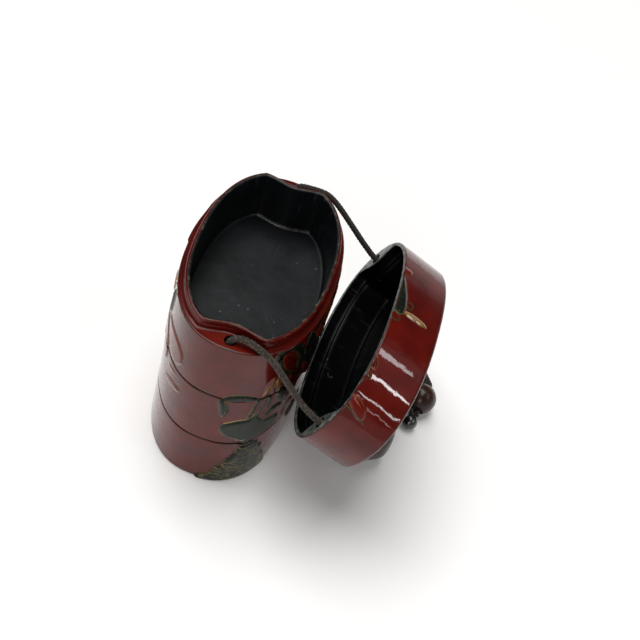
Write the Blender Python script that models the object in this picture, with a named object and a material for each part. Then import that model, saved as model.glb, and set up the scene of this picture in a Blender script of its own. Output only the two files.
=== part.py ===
"""A three-tier inro case with its lid lifted off and tipped over, its cord, bead, knot and toggle.

Metres, +Z up. The case stands on its foot with its long side along Y. The sizes below are measured
from the middle of its foot, and the origin is on the floor under the middle of the whole set.
"""

import math

import bmesh
import bpy
import numpy as np
from mathutils import Euler, Vector

MM = 0.001

# The oval that every tier and the lid share
HALF_THICK = 16.8 * MM
HALF_WIDE = 28.0 * MM
FULLNESS = 2.32

# Heights of the tiers' walls, from the floor up, and of the lid
BOTTOM_HEIGHT = 15.1 * MM
MIDDLE_HEIGHT = 16.2 * MM
TOP_HEIGHT = 16.2 * MM
LID_HEIGHT = 12.5 * MM
SEAM = 0.3 * MM
FIT = 0.3 * MM

# Walls, risers and floors
SHELL_WALL = 1.25 * MM
RISER_WALL = 1.05 * MM
RISER_HEIGHT = 2.6 * MM
HEADROOM = 1.2 * MM
FLOOR = 2.1 * MM
FOOT_FLOOR = 4.0 * MM
FOOT_ROUND = 0.4 * MM
LID_TOP = 2.3 * MM
LID_CROWN = 0.8 * MM
LID_ROUND = 0.8 * MM
CROWN_STEPS = (0.35, 0.7)

# The cord, its runners and the groove under the foot
CORD = 1.4 * MM
RUNNER = 2.4 * MM
RUNNER_INSET = 2.5 * MM
RUNNER_REACH = HALF_WIDE - RUNNER_INSET
GROOVE_DEPTH = 2.1 * MM
GROOVE_LEVEL = 1.1 * MM
GROOVE_TURN = 3.0 * MM
GROOVE_TURN_DEPTH = 3.8 * MM

# The flat end walls of the hollows, which bulge in round the cord's runner
LEDGE = 0.75 * MM
END_BULGE = 1.2 * MM
BULGE_HALF_WIDTH = 6.8 * MM
END_REACH = RUNNER_REACH - RUNNER / 2 - LEDGE - RISER_WALL + END_BULGE

# How the cord's route is drawn and how far it stands over what it passes
CORD_STEP = 10.0 * MM
CORD_BEND = math.radians(30)
CORD_SAG = 0.08 * MM
CORD_TURN = 2.8 * MM
CORD_LEAN = 0.2 * MM
CORD_OVER_SHOULDER = 1.65 * MM
CORD_OVER_LID = 2.3 * MM
CURVE_STEPS = 16

# Where the lid lies: the middle of its rim, its tilt over its long side, its pitch and its turn
LID_PLACE = (23.45 * MM, -3.4 * MM, 37.4 * MM)
LID_TILT = math.radians(112)
LID_PITCH = math.radians(2.1)
LID_TURN = math.radians(-1.5)

# The toggle that the lid's lower edge leans on
TOGGLE_PLACE = (32.4 * MM, 4.6 * MM)
TOGGLE_HALF_THICK = 6.3 * MM
TOGGLE_HALF_LONG = 16.5 * MM
TOGGLE_HEIGHT = 16.4 * MM
TOGGLE_TURN = math.radians(27)
TOGGLE_FULLNESS = 3.2
TOGGLE_FLAT = 0.4 * MM
TOGGLE_GROOVE = 0.5 * MM
TOGGLE_GROOVES = 5
TOGGLE_HOLE_DEPTH = 5.0 * MM
TOGGLE_HOLE_ALONG = 2.5 * MM
TOGGLE_HOLE_LEVEL = 6.0 * MM

# The round bead, and the knot beside it
BEAD_RADIUS = 4.15 * MM
BEAD_BORE = 3.8 * MM
BEAD_PLACE = (48.4 * MM, 14.4 * MM, 4.15 * MM)
KNOT_RADIUS = 2.1 * MM
KNOT_PLACE = (47.3 * MM, 7.4 * MM, 2.15 * MM)

# The middle of the set that stands on the floor, from the middle of the case's foot
SET_MIDDLE = (12.8 * MM, -1.5 * MM, 0.0)

# Figures raised on the lacquer: how far they stand out, how wide their sloping edges are in
# millimetres, and how finely the walls are cut
PETAL_RELIEF = 0.6 * MM
LEAF_RELIEF = 0.5 * MM
ROCK_RELIEF = 0.7 * MM
PETAL_FULLNESS = 0.62
PETAL_EDGE = 1.2
LEAF_EDGE = 0.8
ROCK_EDGE = 1.5
ROCK_STEEPNESS = 1.4
STEPS_ROUND = 90
STEPS_UP = 4
OUTLINE_STEPS = 56
FINE_STEPS = 2400

# Flowers: middle and reach along the wall and up it, turn, number of petals, middle of the flower
FLOWERS = (
    {"at": (-24.0, 40.0), "reach": 20.0, "turn": -1.0, "petals": 9, "heart": 3.6},
    {"at": (30.5, 35.5), "reach": 11.5, "turn": 12.0, "petals": 8, "heart": 2.8},
    {"at": (-55.0, 33.0), "reach": 15.0, "turn": 20.0, "petals": 8, "heart": 3.0},
    {"at": (58.0, 29.0), "reach": 13.0, "turn": 5.0, "petals": 8, "heart": 2.8},
)

# Leaves: from, to, half width and bend, all along the wall and up it in millimetres
LEAVES = (
    {"from": (18.6, 21.4), "to": (3.0, 20.2), "half": 4.4, "bend": 0.6},
    {"from": (9.4, 31.4), "to": (1.3, 30.6), "half": 1.1, "bend": -3.2},
    {"from": (1.6, 31.2), "to": (3.0, 25.4), "half": 0.9, "bend": 0.3},
    {"from": (10.2, 31.4), "to": (9.2, 24.6), "half": 0.7, "bend": 0.2},
    {"from": (17.0, 36.0), "to": (9.4, 46.4), "half": 1.5, "bend": 3.4},
    {"from": (17.0, 36.0), "to": (11.0, 40.6), "half": 1.2, "bend": -1.2},
    {"from": (12.2, 40.4), "to": (10.6, 32.6), "half": 1.4, "bend": 0.6},
    {"from": (15.6, 37.0), "to": (14.2, 29.0), "half": 1.3, "bend": -0.4},
    {"from": (25.0, 31.0), "to": (18.6, 19.6), "half": 2.6, "bend": 0.6},
    {"from": (20.5, 31.0), "to": (15.8, 22.6), "half": 1.6, "bend": -0.4},
    {"from": (24.0, 12.0), "to": (38.0, 6.0), "half": 3.2, "bend": 1.2},
    {"from": (-20.0, 22.0), "to": (-29.0, 9.0), "half": 3.0, "bend": 1.4},
    {"from": (-45.5, 47.0), "to": (-33.6, 48.4), "half": 2.0, "bend": 0.6},
    {"from": (-34.2, 48.8), "to": (-35.4, 56.8), "half": 0.9, "bend": -0.4},
    {"from": (-41.0, 22.0), "to": (-52.0, 12.0), "half": 3.0, "bend": -1.2},
    {"from": (45.0, 20.0), "to": (60.0, 14.0), "half": 3.2, "bend": 1.4},
    {"from": (68.0, 30.0), "to": (70.0, 46.0), "half": 2.6, "bend": -1.2},
)

# Rocks: foot from and to along the wall, where the peak is, and its height, in millimetres
ROCKS = (
    {"from": 3.0, "to": 21.0, "peak": 6.5, "height": 15.6},
    {"from": -68.0, "to": -50.0, "peak": -60.0, "height": 11.0},
)


def oval(inset, count, clip=None):
    """Evenly spaced points of the shared oval, moved in by inset, from the front end's middle round."""
    turn = np.linspace(-math.pi / 2, 1.5 * math.pi, FINE_STEPS + 1)
    power = 2 / FULLNESS
    x = (HALF_THICK - inset) * np.sign(np.cos(turn)) * np.abs(np.cos(turn)) ** power
    y = (HALF_WIDE - inset) * np.sign(np.sin(turn)) * np.abs(np.sin(turn)) ** power
    if clip is not None:
        reach = end_reach(x) + clip
        y = np.clip(y, -reach, reach)
    run = np.concatenate(([0.0], np.cumsum(np.hypot(np.diff(x), np.diff(y)))))
    even = np.linspace(0, run[-1], count + 1)[:-1]
    return np.column_stack((np.interp(even, run, x), np.interp(even, run, y)))


def end_reach(x):
    """How far along Y a hollow runs at x: a flat end with a bulge in round the cord's runner."""
    near = np.clip(np.abs(x) / BULGE_HALF_WIDTH, 0, 1)
    return END_REACH - END_BULGE * 0.5 * (1 + np.cos(math.pi * near))


def smooth_step(value):
    value = np.clip(value, 0, 1)
    return value * value * (3 - 2 * value)


def blade(along, up, start, end, half, bend):
    """Distance inside a leaf or petal's edge, in millimetres, and below zero outside it."""
    start, end = np.array(start), np.array(end)
    length = np.hypot(*(end - start))
    ahead = (end - start) / length
    from_start = ((along - start[0]) * ahead[0] + (up - start[1]) * ahead[1]) / length
    aside = (up - start[1]) * ahead[0] - (along - start[0]) * ahead[1]
    share = np.clip(from_start, 0, 1)
    middle = bend * 4 * share * (1 - share)
    width = half * np.sin(math.pi * share**0.8) ** 0.7
    return np.where(from_start == share, width - np.abs(aside - middle), -1.0)


def flower_petals(flower):
    """The blades of one flower's petals, longest outward."""
    centre = np.array(flower["at"])
    half = flower["reach"] * math.sin(math.pi / flower["petals"]) * PETAL_FULLNESS
    for petal in range(flower["petals"]):
        angle = math.radians(flower["turn"]) + petal * 2 * math.pi / flower["petals"]
        ahead = np.array((math.cos(angle), math.sin(angle)))
        start = centre + ahead * flower["heart"] * 0.6
        yield start, centre + ahead * flower["reach"], half, 0.0


def relief(along, up):
    """How far the wall's figures stand out, in metres, at a place along the wall and up it."""
    along, up = along / MM, up / MM
    height = np.zeros_like(along)
    for flower in FLOWERS:
        for start, end, half, bend in flower_petals(flower):
            inside = blade(along, up, start, end, half, bend)
            height = np.maximum(height, PETAL_RELIEF * smooth_step(inside / PETAL_EDGE))
        heart = flower["heart"] - np.hypot(along - flower["at"][0], up - flower["at"][1])
        height = np.maximum(height, PETAL_RELIEF * smooth_step(heart / PETAL_EDGE))
    for leaf in LEAVES:
        inside = blade(along, up, leaf["from"], leaf["to"], leaf["half"], leaf["bend"])
        height = np.maximum(height, LEAF_RELIEF * smooth_step(inside / LEAF_EDGE))
    for rock in ROCKS:
        left = (along - rock["from"]) / (rock["peak"] - rock["from"])
        right = (rock["to"] - along) / (rock["to"] - rock["peak"])
        crest = rock["height"] * smooth_step(np.minimum(left, right) * ROCK_STEEPNESS)
        height = np.maximum(height, ROCK_RELIEF * smooth_step((crest - up) / ROCK_EDGE))
    return height


def place_in(collection, mesh_object):
    for other in list(mesh_object.users_collection):
        other.objects.unlink(mesh_object)
    collection.objects.link(mesh_object)
    return mesh_object


def make_material(name, colour, roughness):
    material = bpy.data.materials.new(name)
    material.use_nodes = True
    shader = material.node_tree.nodes["Principled BSDF"]
    shader.inputs["Base Color"].default_value = (*colour, 1)
    shader.inputs["Roughness"].default_value = roughness
    return material


def mesh_object(name, work, collection, material=None):
    """Turns a bmesh into an object of the collection."""
    bmesh.ops.recalc_face_normals(work, faces=work.faces)
    mesh = bpy.data.meshes.new(name)
    work.to_mesh(mesh)
    work.free()
    made = bpy.data.objects.new(name, mesh)
    if material is not None:
        mesh.materials.append(material)
    return place_in(collection, made)


def prism(work, points, low, high):
    """An upright block on an outline, from low to high."""
    ring = [work.verts.new((x, y, low)) for x, y in points]
    base = work.faces.new(ring)
    raised = bmesh.ops.extrude_face_region(work, geom=[base])
    top = [item for item in raised["geom"] if isinstance(item, bmesh.types.BMVert)]
    bmesh.ops.translate(work, verts=top, vec=(0, 0, high - low))


def cutter(name, work, cutters):
    made = mesh_object(name, work, cutters)
    made.hide_render = True
    made.display_type = "WIRE"
    return made


def outline_cutter(name, points, low, high, cutters):
    work = bmesh.new()
    prism(work, points, low, high)
    return cutter(name, work, cutters)


def combine(target, tool, operation):
    step = target.modifiers.new(tool.name, "BOOLEAN")
    step.operation = operation
    step.solver = "EXACT"
    step.object = tool


def cylinder_between(work, start, end, radius):
    """A cylinder along the line from start to end."""
    start, end = Vector(start), Vector(end)
    made = bmesh.ops.create_cone(
        work, cap_ends=True, segments=12, radius1=radius, radius2=radius, depth=(end - start).length
    )
    turn = (end - start).to_track_quat("Z", "Y").to_matrix()
    bmesh.ops.rotate(work, verts=made["verts"], matrix=turn)
    bmesh.ops.translate(work, verts=made["verts"], vec=(start + end) / 2)


def carved_wall(name, rows, base_level, collection, material):
    """A solid block on the shared oval. rows are (inset, level) pairs, and base_level is the level
    of its z = 0 in the closed case, where the figures run on from tier to tier."""
    work = bmesh.new()
    around = oval(0, STEPS_ROUND)
    step = np.roll(around, -1, axis=0) - np.roll(around, 1, axis=0)
    outward = np.column_stack((step[:, 1], -step[:, 0])) / np.hypot(*step.T)[:, None]
    run = np.concatenate(([0.0], np.cumsum(np.hypot(*np.diff(around, axis=0).T))))
    girth = run[-1] + np.hypot(*(around[0] - around[-1]))
    along = np.where(run > girth / 2, run - girth, run)
    rings = []
    for inset, level in rows:
        raised = relief(along, np.full_like(along, base_level + level))
        if inset == 0:
            points = around + outward * raised[:, None]
        else:
            points = oval(inset, STEPS_ROUND)
        rings.append([work.verts.new((x, y, level)) for x, y in points])
    for low, high in zip(rings, rings[1:]):
        for here in range(STEPS_ROUND):
            after = (here + 1) % STEPS_ROUND
            work.faces.new((low[here], low[after], high[after], high[here]))
    work.faces.new(rings[0])
    work.faces.new(rings[-1])
    return mesh_object(name, work, collection, material)


def wall_rows(low, high):
    return [(0, level) for level in np.linspace(low, high, STEPS_UP + 1)]


def runner_cutter(name, low, high, cutters):
    """The two holes that the cord runs in, one in each end."""
    work = bmesh.new()
    for side in (-1, 1):
        cylinder_between(
            work, (0, side * RUNNER_REACH, low), (0, side * RUNNER_REACH, high), RUNNER / 2
        )
    return cutter(name, work, cutters)


def riser_recess(name, low, high, cutters):
    """The space under a tier or in the lid that takes the riser of the tier below."""
    points = oval(SHELL_WALL - FIT, OUTLINE_STEPS, clip=RISER_WALL + FIT)
    return outline_cutter(name, points, low, high, cutters)


def make_tier(name, low, height, floor_top, has_recess, collection, cutters, material):
    """One tier: a carved wall, a hollow with a riser round its mouth, and the cord's two runners."""
    shoulder = low + height
    rows = wall_rows(low, shoulder)
    if not has_recess:
        rows[0] = (0, low + FOOT_ROUND)
        rows.insert(0, (FOOT_ROUND, low))
    tier = carved_wall(name, rows, 0, collection, material)
    mouth = shoulder + RISER_HEIGHT
    riser = oval(SHELL_WALL, OUTLINE_STEPS, clip=RISER_WALL)
    combine(
        tier, outline_cutter(f"{name}_riser", riser, shoulder - HEADROOM, mouth, cutters), "UNION"
    )
    hollow = oval(SHELL_WALL + RISER_WALL, OUTLINE_STEPS, clip=0)
    combine(
        tier, outline_cutter(f"{name}_hollow", hollow, floor_top, mouth + HEADROOM, cutters),
        "DIFFERENCE",
    )
    if has_recess:
        recess_top = low + RISER_HEIGHT + HEADROOM
        combine(
            tier, riser_recess(f"{name}_recess", low - HEADROOM, recess_top, cutters), "DIFFERENCE"
        )
    combine(
        tier, runner_cutter(f"{name}_runners", low - HEADROOM, mouth, cutters), "DIFFERENCE"
    )
    return tier


def groove_block(work, start, end, depth):
    """A block under the foot's middle line, as wide as the cord's runners."""
    half = RUNNER / 2
    prism(work, [(-half, start), (half, start), (half, end), (-half, end)], -depth, depth)


def cut_foot_groove(tier, cutters):
    """The groove that carries the cord across under the foot, deeper where the cord turns up."""
    groove = bmesh.new()
    groove_block(groove, -RUNNER_REACH, RUNNER_REACH, GROOVE_DEPTH)
    combine(tier, cutter("foot_groove", groove, cutters), "DIFFERENCE")
    pockets = bmesh.new()
    groove_block(pockets, -RUNNER_REACH, GROOVE_TURN - RUNNER_REACH, GROOVE_TURN_DEPTH)
    groove_block(pockets, RUNNER_REACH - GROOVE_TURN, RUNNER_REACH, GROOVE_TURN_DEPTH)
    combine(tier, cutter("foot_pockets", pockets, cutters), "DIFFERENCE")


def make_lid(closed_level, collection, cutters, material):
    """The lid, made with its rim at z = 0 and its top up, then tipped over by its parent."""
    rows = wall_rows(0, LID_HEIGHT - LID_ROUND)
    rows.append((LID_ROUND * 0.3, LID_HEIGHT - LID_ROUND * 0.3))
    rows.append((LID_ROUND, LID_HEIGHT))
    for share in CROWN_STEPS:
        rows.append((HALF_THICK * share, LID_HEIGHT + LID_CROWN * (1 - (1 - share) ** 2)))
    lid = carved_wall("lid", rows, closed_level, collection, material)
    recess_top = RISER_HEIGHT + FIT
    recess = riser_recess("lid_recess", -HEADROOM, recess_top, cutters)
    inside = oval(SHELL_WALL + RISER_WALL, OUTLINE_STEPS, clip=0)
    hollow = outline_cutter(
        "lid_hollow", inside, -HEADROOM, LID_HEIGHT - LID_TOP, cutters
    )
    runners = runner_cutter("lid_runners", -HEADROOM, LID_HEIGHT + 2 * LID_CROWN, cutters)
    tip = bpy.data.objects.new("lid_tip", None)
    collection.objects.link(tip)
    tip.location = LID_PLACE
    tip.rotation_euler = lid_turn().to_euler()
    for piece in (lid, recess, hollow, runners):
        piece.parent = tip
    for tool in (hollow, recess, runners):
        combine(lid, tool, "DIFFERENCE")
    lid.modifiers.new("faces_cut_while_level", "TRIANGULATE")
    return lid


def lid_turn():
    turn = Euler((LID_PITCH, 0, 0)).to_matrix() @ Euler((0, LID_TILT, 0)).to_matrix()
    return Euler((0, 0, LID_TURN)).to_matrix() @ turn


def in_lid(point):
    """A point of the lid's own frame where the tipped lid holds it."""
    return Vector(LID_PLACE) + lid_turn() @ point


def toggle_point(aside, along, up):
    """A point given from the middle of the toggle's foot, across it, along it and up."""
    across = Vector((math.cos(TOGGLE_TURN), math.sin(TOGGLE_TURN), 0))
    ahead = Vector((-math.sin(TOGGLE_TURN), math.cos(TOGGLE_TURN), 0))
    return Vector((*TOGGLE_PLACE, up)) + across * aside + ahead * along


def make_toggle(collection, cutters, material):
    """The toggle: an oblong rounded block with shallow grooves round it and a hole for the cord."""
    work = bmesh.new()
    bmesh.ops.create_uvsphere(work, u_segments=24, v_segments=12, radius=1)
    power = 2 / TOGGLE_FULLNESS
    half_height = (TOGGLE_HEIGHT + TOGGLE_FLAT) / 2
    for vert in work.verts:
        flat = math.hypot(vert.co.x, vert.co.y)
        round_out = flat**power
        side = math.copysign(abs(vert.co.x / max(flat, 1e-6)) ** power, vert.co.x)
        end = math.copysign(abs(vert.co.y / max(flat, 1e-6)) ** power, vert.co.y)
        up = math.copysign(abs(vert.co.z) ** power, vert.co.z)
        groove = 0.5 + 0.5 * math.cos(2 * math.pi * TOGGLE_GROOVES * 0.5 * (end * round_out + 1))
        depth = TOGGLE_GROOVE * groove**6 * round_out
        point = toggle_point(
            (TOGGLE_HALF_THICK - depth) * round_out * side,
            TOGGLE_HALF_LONG * round_out * end,
            max((half_height - depth) * up + half_height - TOGGLE_FLAT, 0),
        )
        vert.co = point
    toggle = mesh_object("netsuke", work, collection, material)
    hole = bmesh.new()
    inner = toggle_point(TOGGLE_HALF_THICK - TOGGLE_HOLE_DEPTH, TOGGLE_HOLE_ALONG, TOGGLE_HOLE_LEVEL)
    outer = toggle_point(TOGGLE_HALF_THICK * 1.3, TOGGLE_HOLE_ALONG, TOGGLE_HOLE_LEVEL)
    cylinder_between(hole, inner, outer, RUNNER / 2)
    combine(toggle, cutter("netsuke_hole", hole, cutters), "DIFFERENCE")
    return toggle


def make_ball(name, place, radius, collection, material):
    work = bmesh.new()
    bmesh.ops.create_uvsphere(work, u_segments=16, v_segments=10, radius=radius)
    bmesh.ops.translate(work, verts=work.verts, vec=place)
    return mesh_object(name, work, collection, material)


def make_bead(collection, cutters, material):
    """The round bead, with a bore that takes two strands of the cord side by side."""
    bead = make_ball("ojime_bead", BEAD_PLACE, BEAD_RADIUS, collection, material)
    drill = bmesh.new()
    reach = bore_lines()[0] * BEAD_RADIUS * 1.3
    cylinder_between(drill, Vector(BEAD_PLACE) - reach, Vector(BEAD_PLACE) + reach, BEAD_BORE / 2)
    combine(bead, cutter("bead_bore", drill, cutters), "DIFFERENCE")


def bore_lines():
    """The way along the bead's bore to the knot, and the step from its middle to a strand."""
    ahead = (Vector(KNOT_PLACE) - Vector(BEAD_PLACE)).normalized()
    return ahead, ahead.cross(Vector((0, 0, 1))).normalized() * (CORD + FIT) / 2


def in_metres(points):
    return [Vector(point) * MM for point in points]


def quarter_turn(corner, back, onward, radius):
    """Points of a quarter circle that rounds off a corner between the ways back and onward."""
    middle = Vector(corner) + (Vector(back) + Vector(onward)) * radius
    turns = [math.radians(angle) for angle in (0, 22.5, 45, 67.5, 90)]
    return [
        middle - radius * (Vector(onward) * math.cos(turn) + Vector(back) * math.sin(turn))
        for turn in turns
    ]


def cord_route():
    """The cord's route, from the knot through the bead, the lid, the tiers and back to the knot."""
    ahead, beside = bore_lines()
    bead, knot = Vector(BEAD_PLACE), Vector(KNOT_PLACE)
    first, second = bead + beside, bead - beside
    knot_end = ahead * (KNOT_RADIUS + FIT)
    mouth, rear = ahead * BEAD_RADIUS, -ahead * BEAD_RADIUS
    up, down, right, inward = (0, 0, 1), (0, 0, -1), (1, 0, 0), (0, 1, 0)
    shoulder = BOTTOM_HEIGHT + MIDDLE_HEIGHT + TOP_HEIGHT
    over_lid = LID_HEIGHT + CORD_OVER_LID

    route = [knot + beside - knot_end, first + mouth * 0.9, first + rear, first + rear * 1.1]
    route += in_metres(((47.9, 20.6, 6.2), (46.0, 21.4, 8.2), (43.8, 18.5, 11.6)))
    route += in_metres(((42.8, 12.5, 15.6), (42.0, 4.0, 20.2), (40.8, -6.0, 24.6)))

    front_top = quarter_turn((0, -RUNNER_REACH, over_lid), inward, down, CORD_TURN)
    front_hole = [Vector((0, -RUNNER_REACH, level)) for level in (LID_HEIGHT / 2, -FIT)]
    route += [in_lid(point) for point in (*front_top, *front_hole)]
    route += in_metres(((18.4, -28.5, 39.1), (15.9, -28.3, 41.6), (12.3, -28.0, 45.4)))
    route += in_metres(((9.4, -27.2, 47.7), (6.0, -26.2, 48.8)))
    front_top = (-CORD_LEAN, -RUNNER_REACH, shoulder + CORD_OVER_SHOULDER)
    route += quarter_turn(front_top, right, down, CORD_TURN)

    front_foot = (0, -RUNNER_REACH, GROOVE_LEVEL)
    back_foot = (0, RUNNER_REACH, GROOVE_LEVEL)
    route += quarter_turn(front_foot, up, inward, CORD_TURN)
    route += quarter_turn(back_foot, (0, -1, 0), up, CORD_TURN)
    back_top = (-CORD_LEAN, RUNNER_REACH, shoulder + CORD_OVER_SHOULDER)
    route += quarter_turn(back_top, down, right, CORD_TURN)
    route += in_metres(((6.0, 25.8, 49.2), (8.4, 25.8, 48.8), (11.0, 25.2, 47.6), (14.1, 24.2, 45.6)))
    route += in_metres(((17.2, 23.2, 43.4), (20.2, 22.5, 41.1)))

    back_hole = [Vector((0, RUNNER_REACH, level)) for level in (-FIT, LID_HEIGHT / 2, LID_HEIGHT)]
    back_hole.append(Vector((0, RUNNER_REACH, over_lid)))
    route += [in_lid(point) for point in back_hole]
    route += in_metres(((40.2, 22.4, 29.6), (42.4, 23.0, 24.0), (43.4, 23.8, 17.0), (44.2, 24.4, 11.4)))
    route += in_metres(((45.8, 23.6, 6.8), (47.7, 22.2, 5.4)))
    route += [second + rear * 1.1, second + rear, second + mouth * 0.9, knot - beside - knot_end]
    return route


def cord_end_route():
    """The short end of the cord, from the knot into the toggle's hole."""
    inner = TOGGLE_HALF_THICK - TOGGLE_HOLE_DEPTH + FIT
    in_hole = (inner, TOGGLE_HALF_THICK * 0.8, TOGGLE_HALF_THICK)
    route = [toggle_point(aside, TOGGLE_HOLE_ALONG, TOGGLE_HOLE_LEVEL) for aside in in_hole]
    route += in_metres(((40.8, 9.4, 5.0), (43.0, 7.8, 3.4)))
    towards = (route[-1] - Vector(KNOT_PLACE)).normalized()
    return [*route, Vector(KNOT_PLACE) + towards * (KNOT_RADIUS + FIT)]


def smooth_route(points):
    """Points along the smooth curve through the route's own points, closer where it bends."""
    spans = len(points) - 1
    dense = []
    for span in range(spans):
        before = points[max(span - 1, 0)]
        here, after = points[span], points[span + 1]
        beyond = points[min(span + 2, spans)]
        length = (after - here).length
        leave = (after - before).normalized() * length
        arrive = (beyond - here).normalized() * length
        for part in np.linspace(0, 1, CURVE_STEPS, endpoint=False):
            square, cube = part**2, part**3
            dense.append(
                here * (2 * cube - 3 * square + 1)
                + leave * (cube - 2 * square + part)
                + after * (3 * square - 2 * cube)
                + arrive * (cube - square)
            )
    kept = [points[0]]
    heading = dense[1] - dense[0]
    for here, after in zip(dense[1:], [*dense[2:], points[-1]]):
        onward = after - here
        step, bend = (here - kept[-1]).length, onward.angle(heading)
        if step > CORD_STEP or bend > CORD_BEND or step * bend > 8 * CORD_SAG:
            kept.append(here)
            heading = onward
    kept.append(points[-1])
    return kept


def make_cord(name, route, collection, material):
    """A stretch of cord as a tube along its route."""
    curve = bpy.data.curves.new(name, "CURVE")
    curve.dimensions = "3D"
    curve.bevel_depth = CORD / 2
    curve.bevel_resolution = 2
    curve.use_fill_caps = True
    curve.materials.append(material)
    points = smooth_route(route)
    spline = curve.splines.new("POLY")
    spline.points.add(len(points) - 1)
    for point, place in zip(spline.points, points):
        point.co = (*place, 1)
    collection.objects.link(bpy.data.objects.new(name, curve))


def main():
    for old in list(bpy.data.objects):
        bpy.data.objects.remove(old)
    collection = bpy.data.collections.new("inro_case")
    cutters = bpy.data.collections.new("cutters")
    bpy.context.scene.collection.children.link(collection)
    bpy.context.scene.collection.children.link(cutters)
    lacquer = make_material("red_lacquer", (0.10, 0.008, 0.006), 0.15)
    wood = make_material("toggle_wood", (0.05, 0.018, 0.010), 0.3)
    bead_wood = make_material("bead_wood", (0.045, 0.012, 0.008), 0.2)
    braid = make_material("cord_braid", (0.028, 0.020, 0.015), 0.8)

    middle_low = BOTTOM_HEIGHT + SEAM
    middle_top = BOTTOM_HEIGHT + MIDDLE_HEIGHT
    top_low = middle_top + SEAM
    above_recess = RISER_HEIGHT + HEADROOM + FLOOR
    bottom = make_tier(
        "tier_bottom", 0, BOTTOM_HEIGHT, FOOT_FLOOR, False, collection, cutters, lacquer
    )
    cut_foot_groove(bottom, cutters)
    make_tier(
        "tier_middle", middle_low, MIDDLE_HEIGHT - SEAM, middle_low + above_recess, True,
        collection, cutters, lacquer,
    )
    make_tier(
        "tier_top", top_low, TOP_HEIGHT - SEAM, top_low + above_recess, True, collection, cutters,
        lacquer,
    )
    make_lid(middle_top + TOP_HEIGHT + SEAM, collection, cutters, lacquer)
    make_toggle(collection, cutters, wood)
    make_bead(collection, cutters, bead_wood)
    make_ball("cord_knot", KNOT_PLACE, KNOT_RADIUS, collection, braid)
    make_cord("cord", cord_route(), collection, braid)
    make_cord("cord_end", cord_end_route(), collection, braid)
    for piece in (*collection.objects, *cutters.objects):
        if piece.parent is None:
            piece.location -= Vector(SET_MIDDLE)


main()
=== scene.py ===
import functools
import math

import bmesh
import bpy
import numpy as np
from mathutils import Euler, Matrix, Vector


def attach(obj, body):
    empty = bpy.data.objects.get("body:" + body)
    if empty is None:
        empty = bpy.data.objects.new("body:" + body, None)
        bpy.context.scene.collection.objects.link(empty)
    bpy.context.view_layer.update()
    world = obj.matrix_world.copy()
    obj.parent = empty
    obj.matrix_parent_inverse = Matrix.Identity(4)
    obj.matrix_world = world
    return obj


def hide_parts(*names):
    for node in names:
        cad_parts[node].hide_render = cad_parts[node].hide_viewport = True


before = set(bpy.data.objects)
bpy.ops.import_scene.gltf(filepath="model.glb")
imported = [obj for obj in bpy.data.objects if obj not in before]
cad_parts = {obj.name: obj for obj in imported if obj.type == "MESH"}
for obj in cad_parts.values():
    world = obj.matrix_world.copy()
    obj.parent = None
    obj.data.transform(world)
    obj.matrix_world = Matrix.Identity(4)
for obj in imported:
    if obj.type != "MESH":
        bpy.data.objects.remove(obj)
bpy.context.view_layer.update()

print("stage: frame loaded")

# Sizes are in millimetres from the middle of the case's foot, as in part.py.
# middle is where the row's origin lies on the floor.
case = {
    "middle": (12.8, -1.5),
    "halfThick": 16.8, "halfWide": 28.0, "fullness": 2.32,
    "columns": 600, "wallStep": 0.2, "fineSteps": 4800,
    "bottom": 15.1, "tier": 16.2, "seam": 0.3,
    "wall": 1.25, "riserWall": 1.05, "riser": 2.6, "headroom": 1.2,
    "floor": 2.1, "footFloor": 4.0, "footRound": 0.4, "fit": 0.3,
    "endReach": 23.7, "endBulge": 1.2, "bulgeHalf": 6.8,
    "edgeRound": 0.28, "riserRound": 0.3, "cornerRound": 0.7, "shore": 0.4, "ledgeDip": 0.07,
    "wearReach": 0.42, "runner": 2.4, "runnerReach": 25.5, "runnerMouth": 0.15, "runnerSides": 40,
    "grooveDepth": 2.1, "pocket": 3.0, "pocketDepth": 3.8,
}


def toWorld(points):
    shifted = np.asarray(points, dtype=float) - (*case["middle"], 0.0)
    return shifted / 1000


lidSizes = {
    "height": 12.5, "top": 2.3, "crown": 0.8, "round": 0.65,
    "place": (23.45, -3.4, 37.4), "tilt": 112.0, "pitch": 2.1, "turn": -1.5,
}


def lidMatrix():
    turn = Euler((0, 0, math.radians(lidSizes["turn"]))).to_matrix()
    pitch = Euler((math.radians(lidSizes["pitch"]), 0, 0)).to_matrix()
    tilt = Euler((0, math.radians(lidSizes["tilt"]), 0)).to_matrix()
    return np.array(turn @ pitch @ tilt)


def inLid(points):
    return np.asarray(points, dtype=float) @ lidMatrix().T + lidSizes["place"]


def srgb(colour):
    parts = [int(colour[i:i + 2], 16) / 255 for i in (1, 3, 5)]
    return (*(p / 12.92 if p <= 0.04045 else ((p + 0.055) / 1.055) ** 2.4 for p in parts), 1)


# the camera stands where the photograph was taken from
view = {
    "place": (11.9667, -151.8906, 196.6664),
    "right": (0.94186482, 0.23274664, 0.24232139),
    "down": (0.33548549, -0.69104775, -0.64023628),
    "ahead": (0.01844281, 0.68431134, -0.72895669),
    "focalPixels": 970.0455, "framePixels": 640, "sensor": 36.0,
}


def makeCamera():
    data = bpy.data.cameras.new("photoView")
    data.sensor_width = view["sensor"]
    data.lens = view["focalPixels"] / view["framePixels"] * view["sensor"]
    data.clip_start = 0.01
    camera = bpy.data.objects.new("photoView", data)
    right, down, ahead = (Vector(view[k]) for k in ("right", "down", "ahead"))
    turn = Matrix((right, -down, -ahead)).transposed()
    camera.matrix_world = Matrix.Translation(Vector(toWorld(view["place"]))) @ turn.to_4x4()
    bpy.context.scene.collection.objects.link(camera)
    bpy.context.scene.camera = camera


makeCamera()
print("stage: camera placed")


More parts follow.
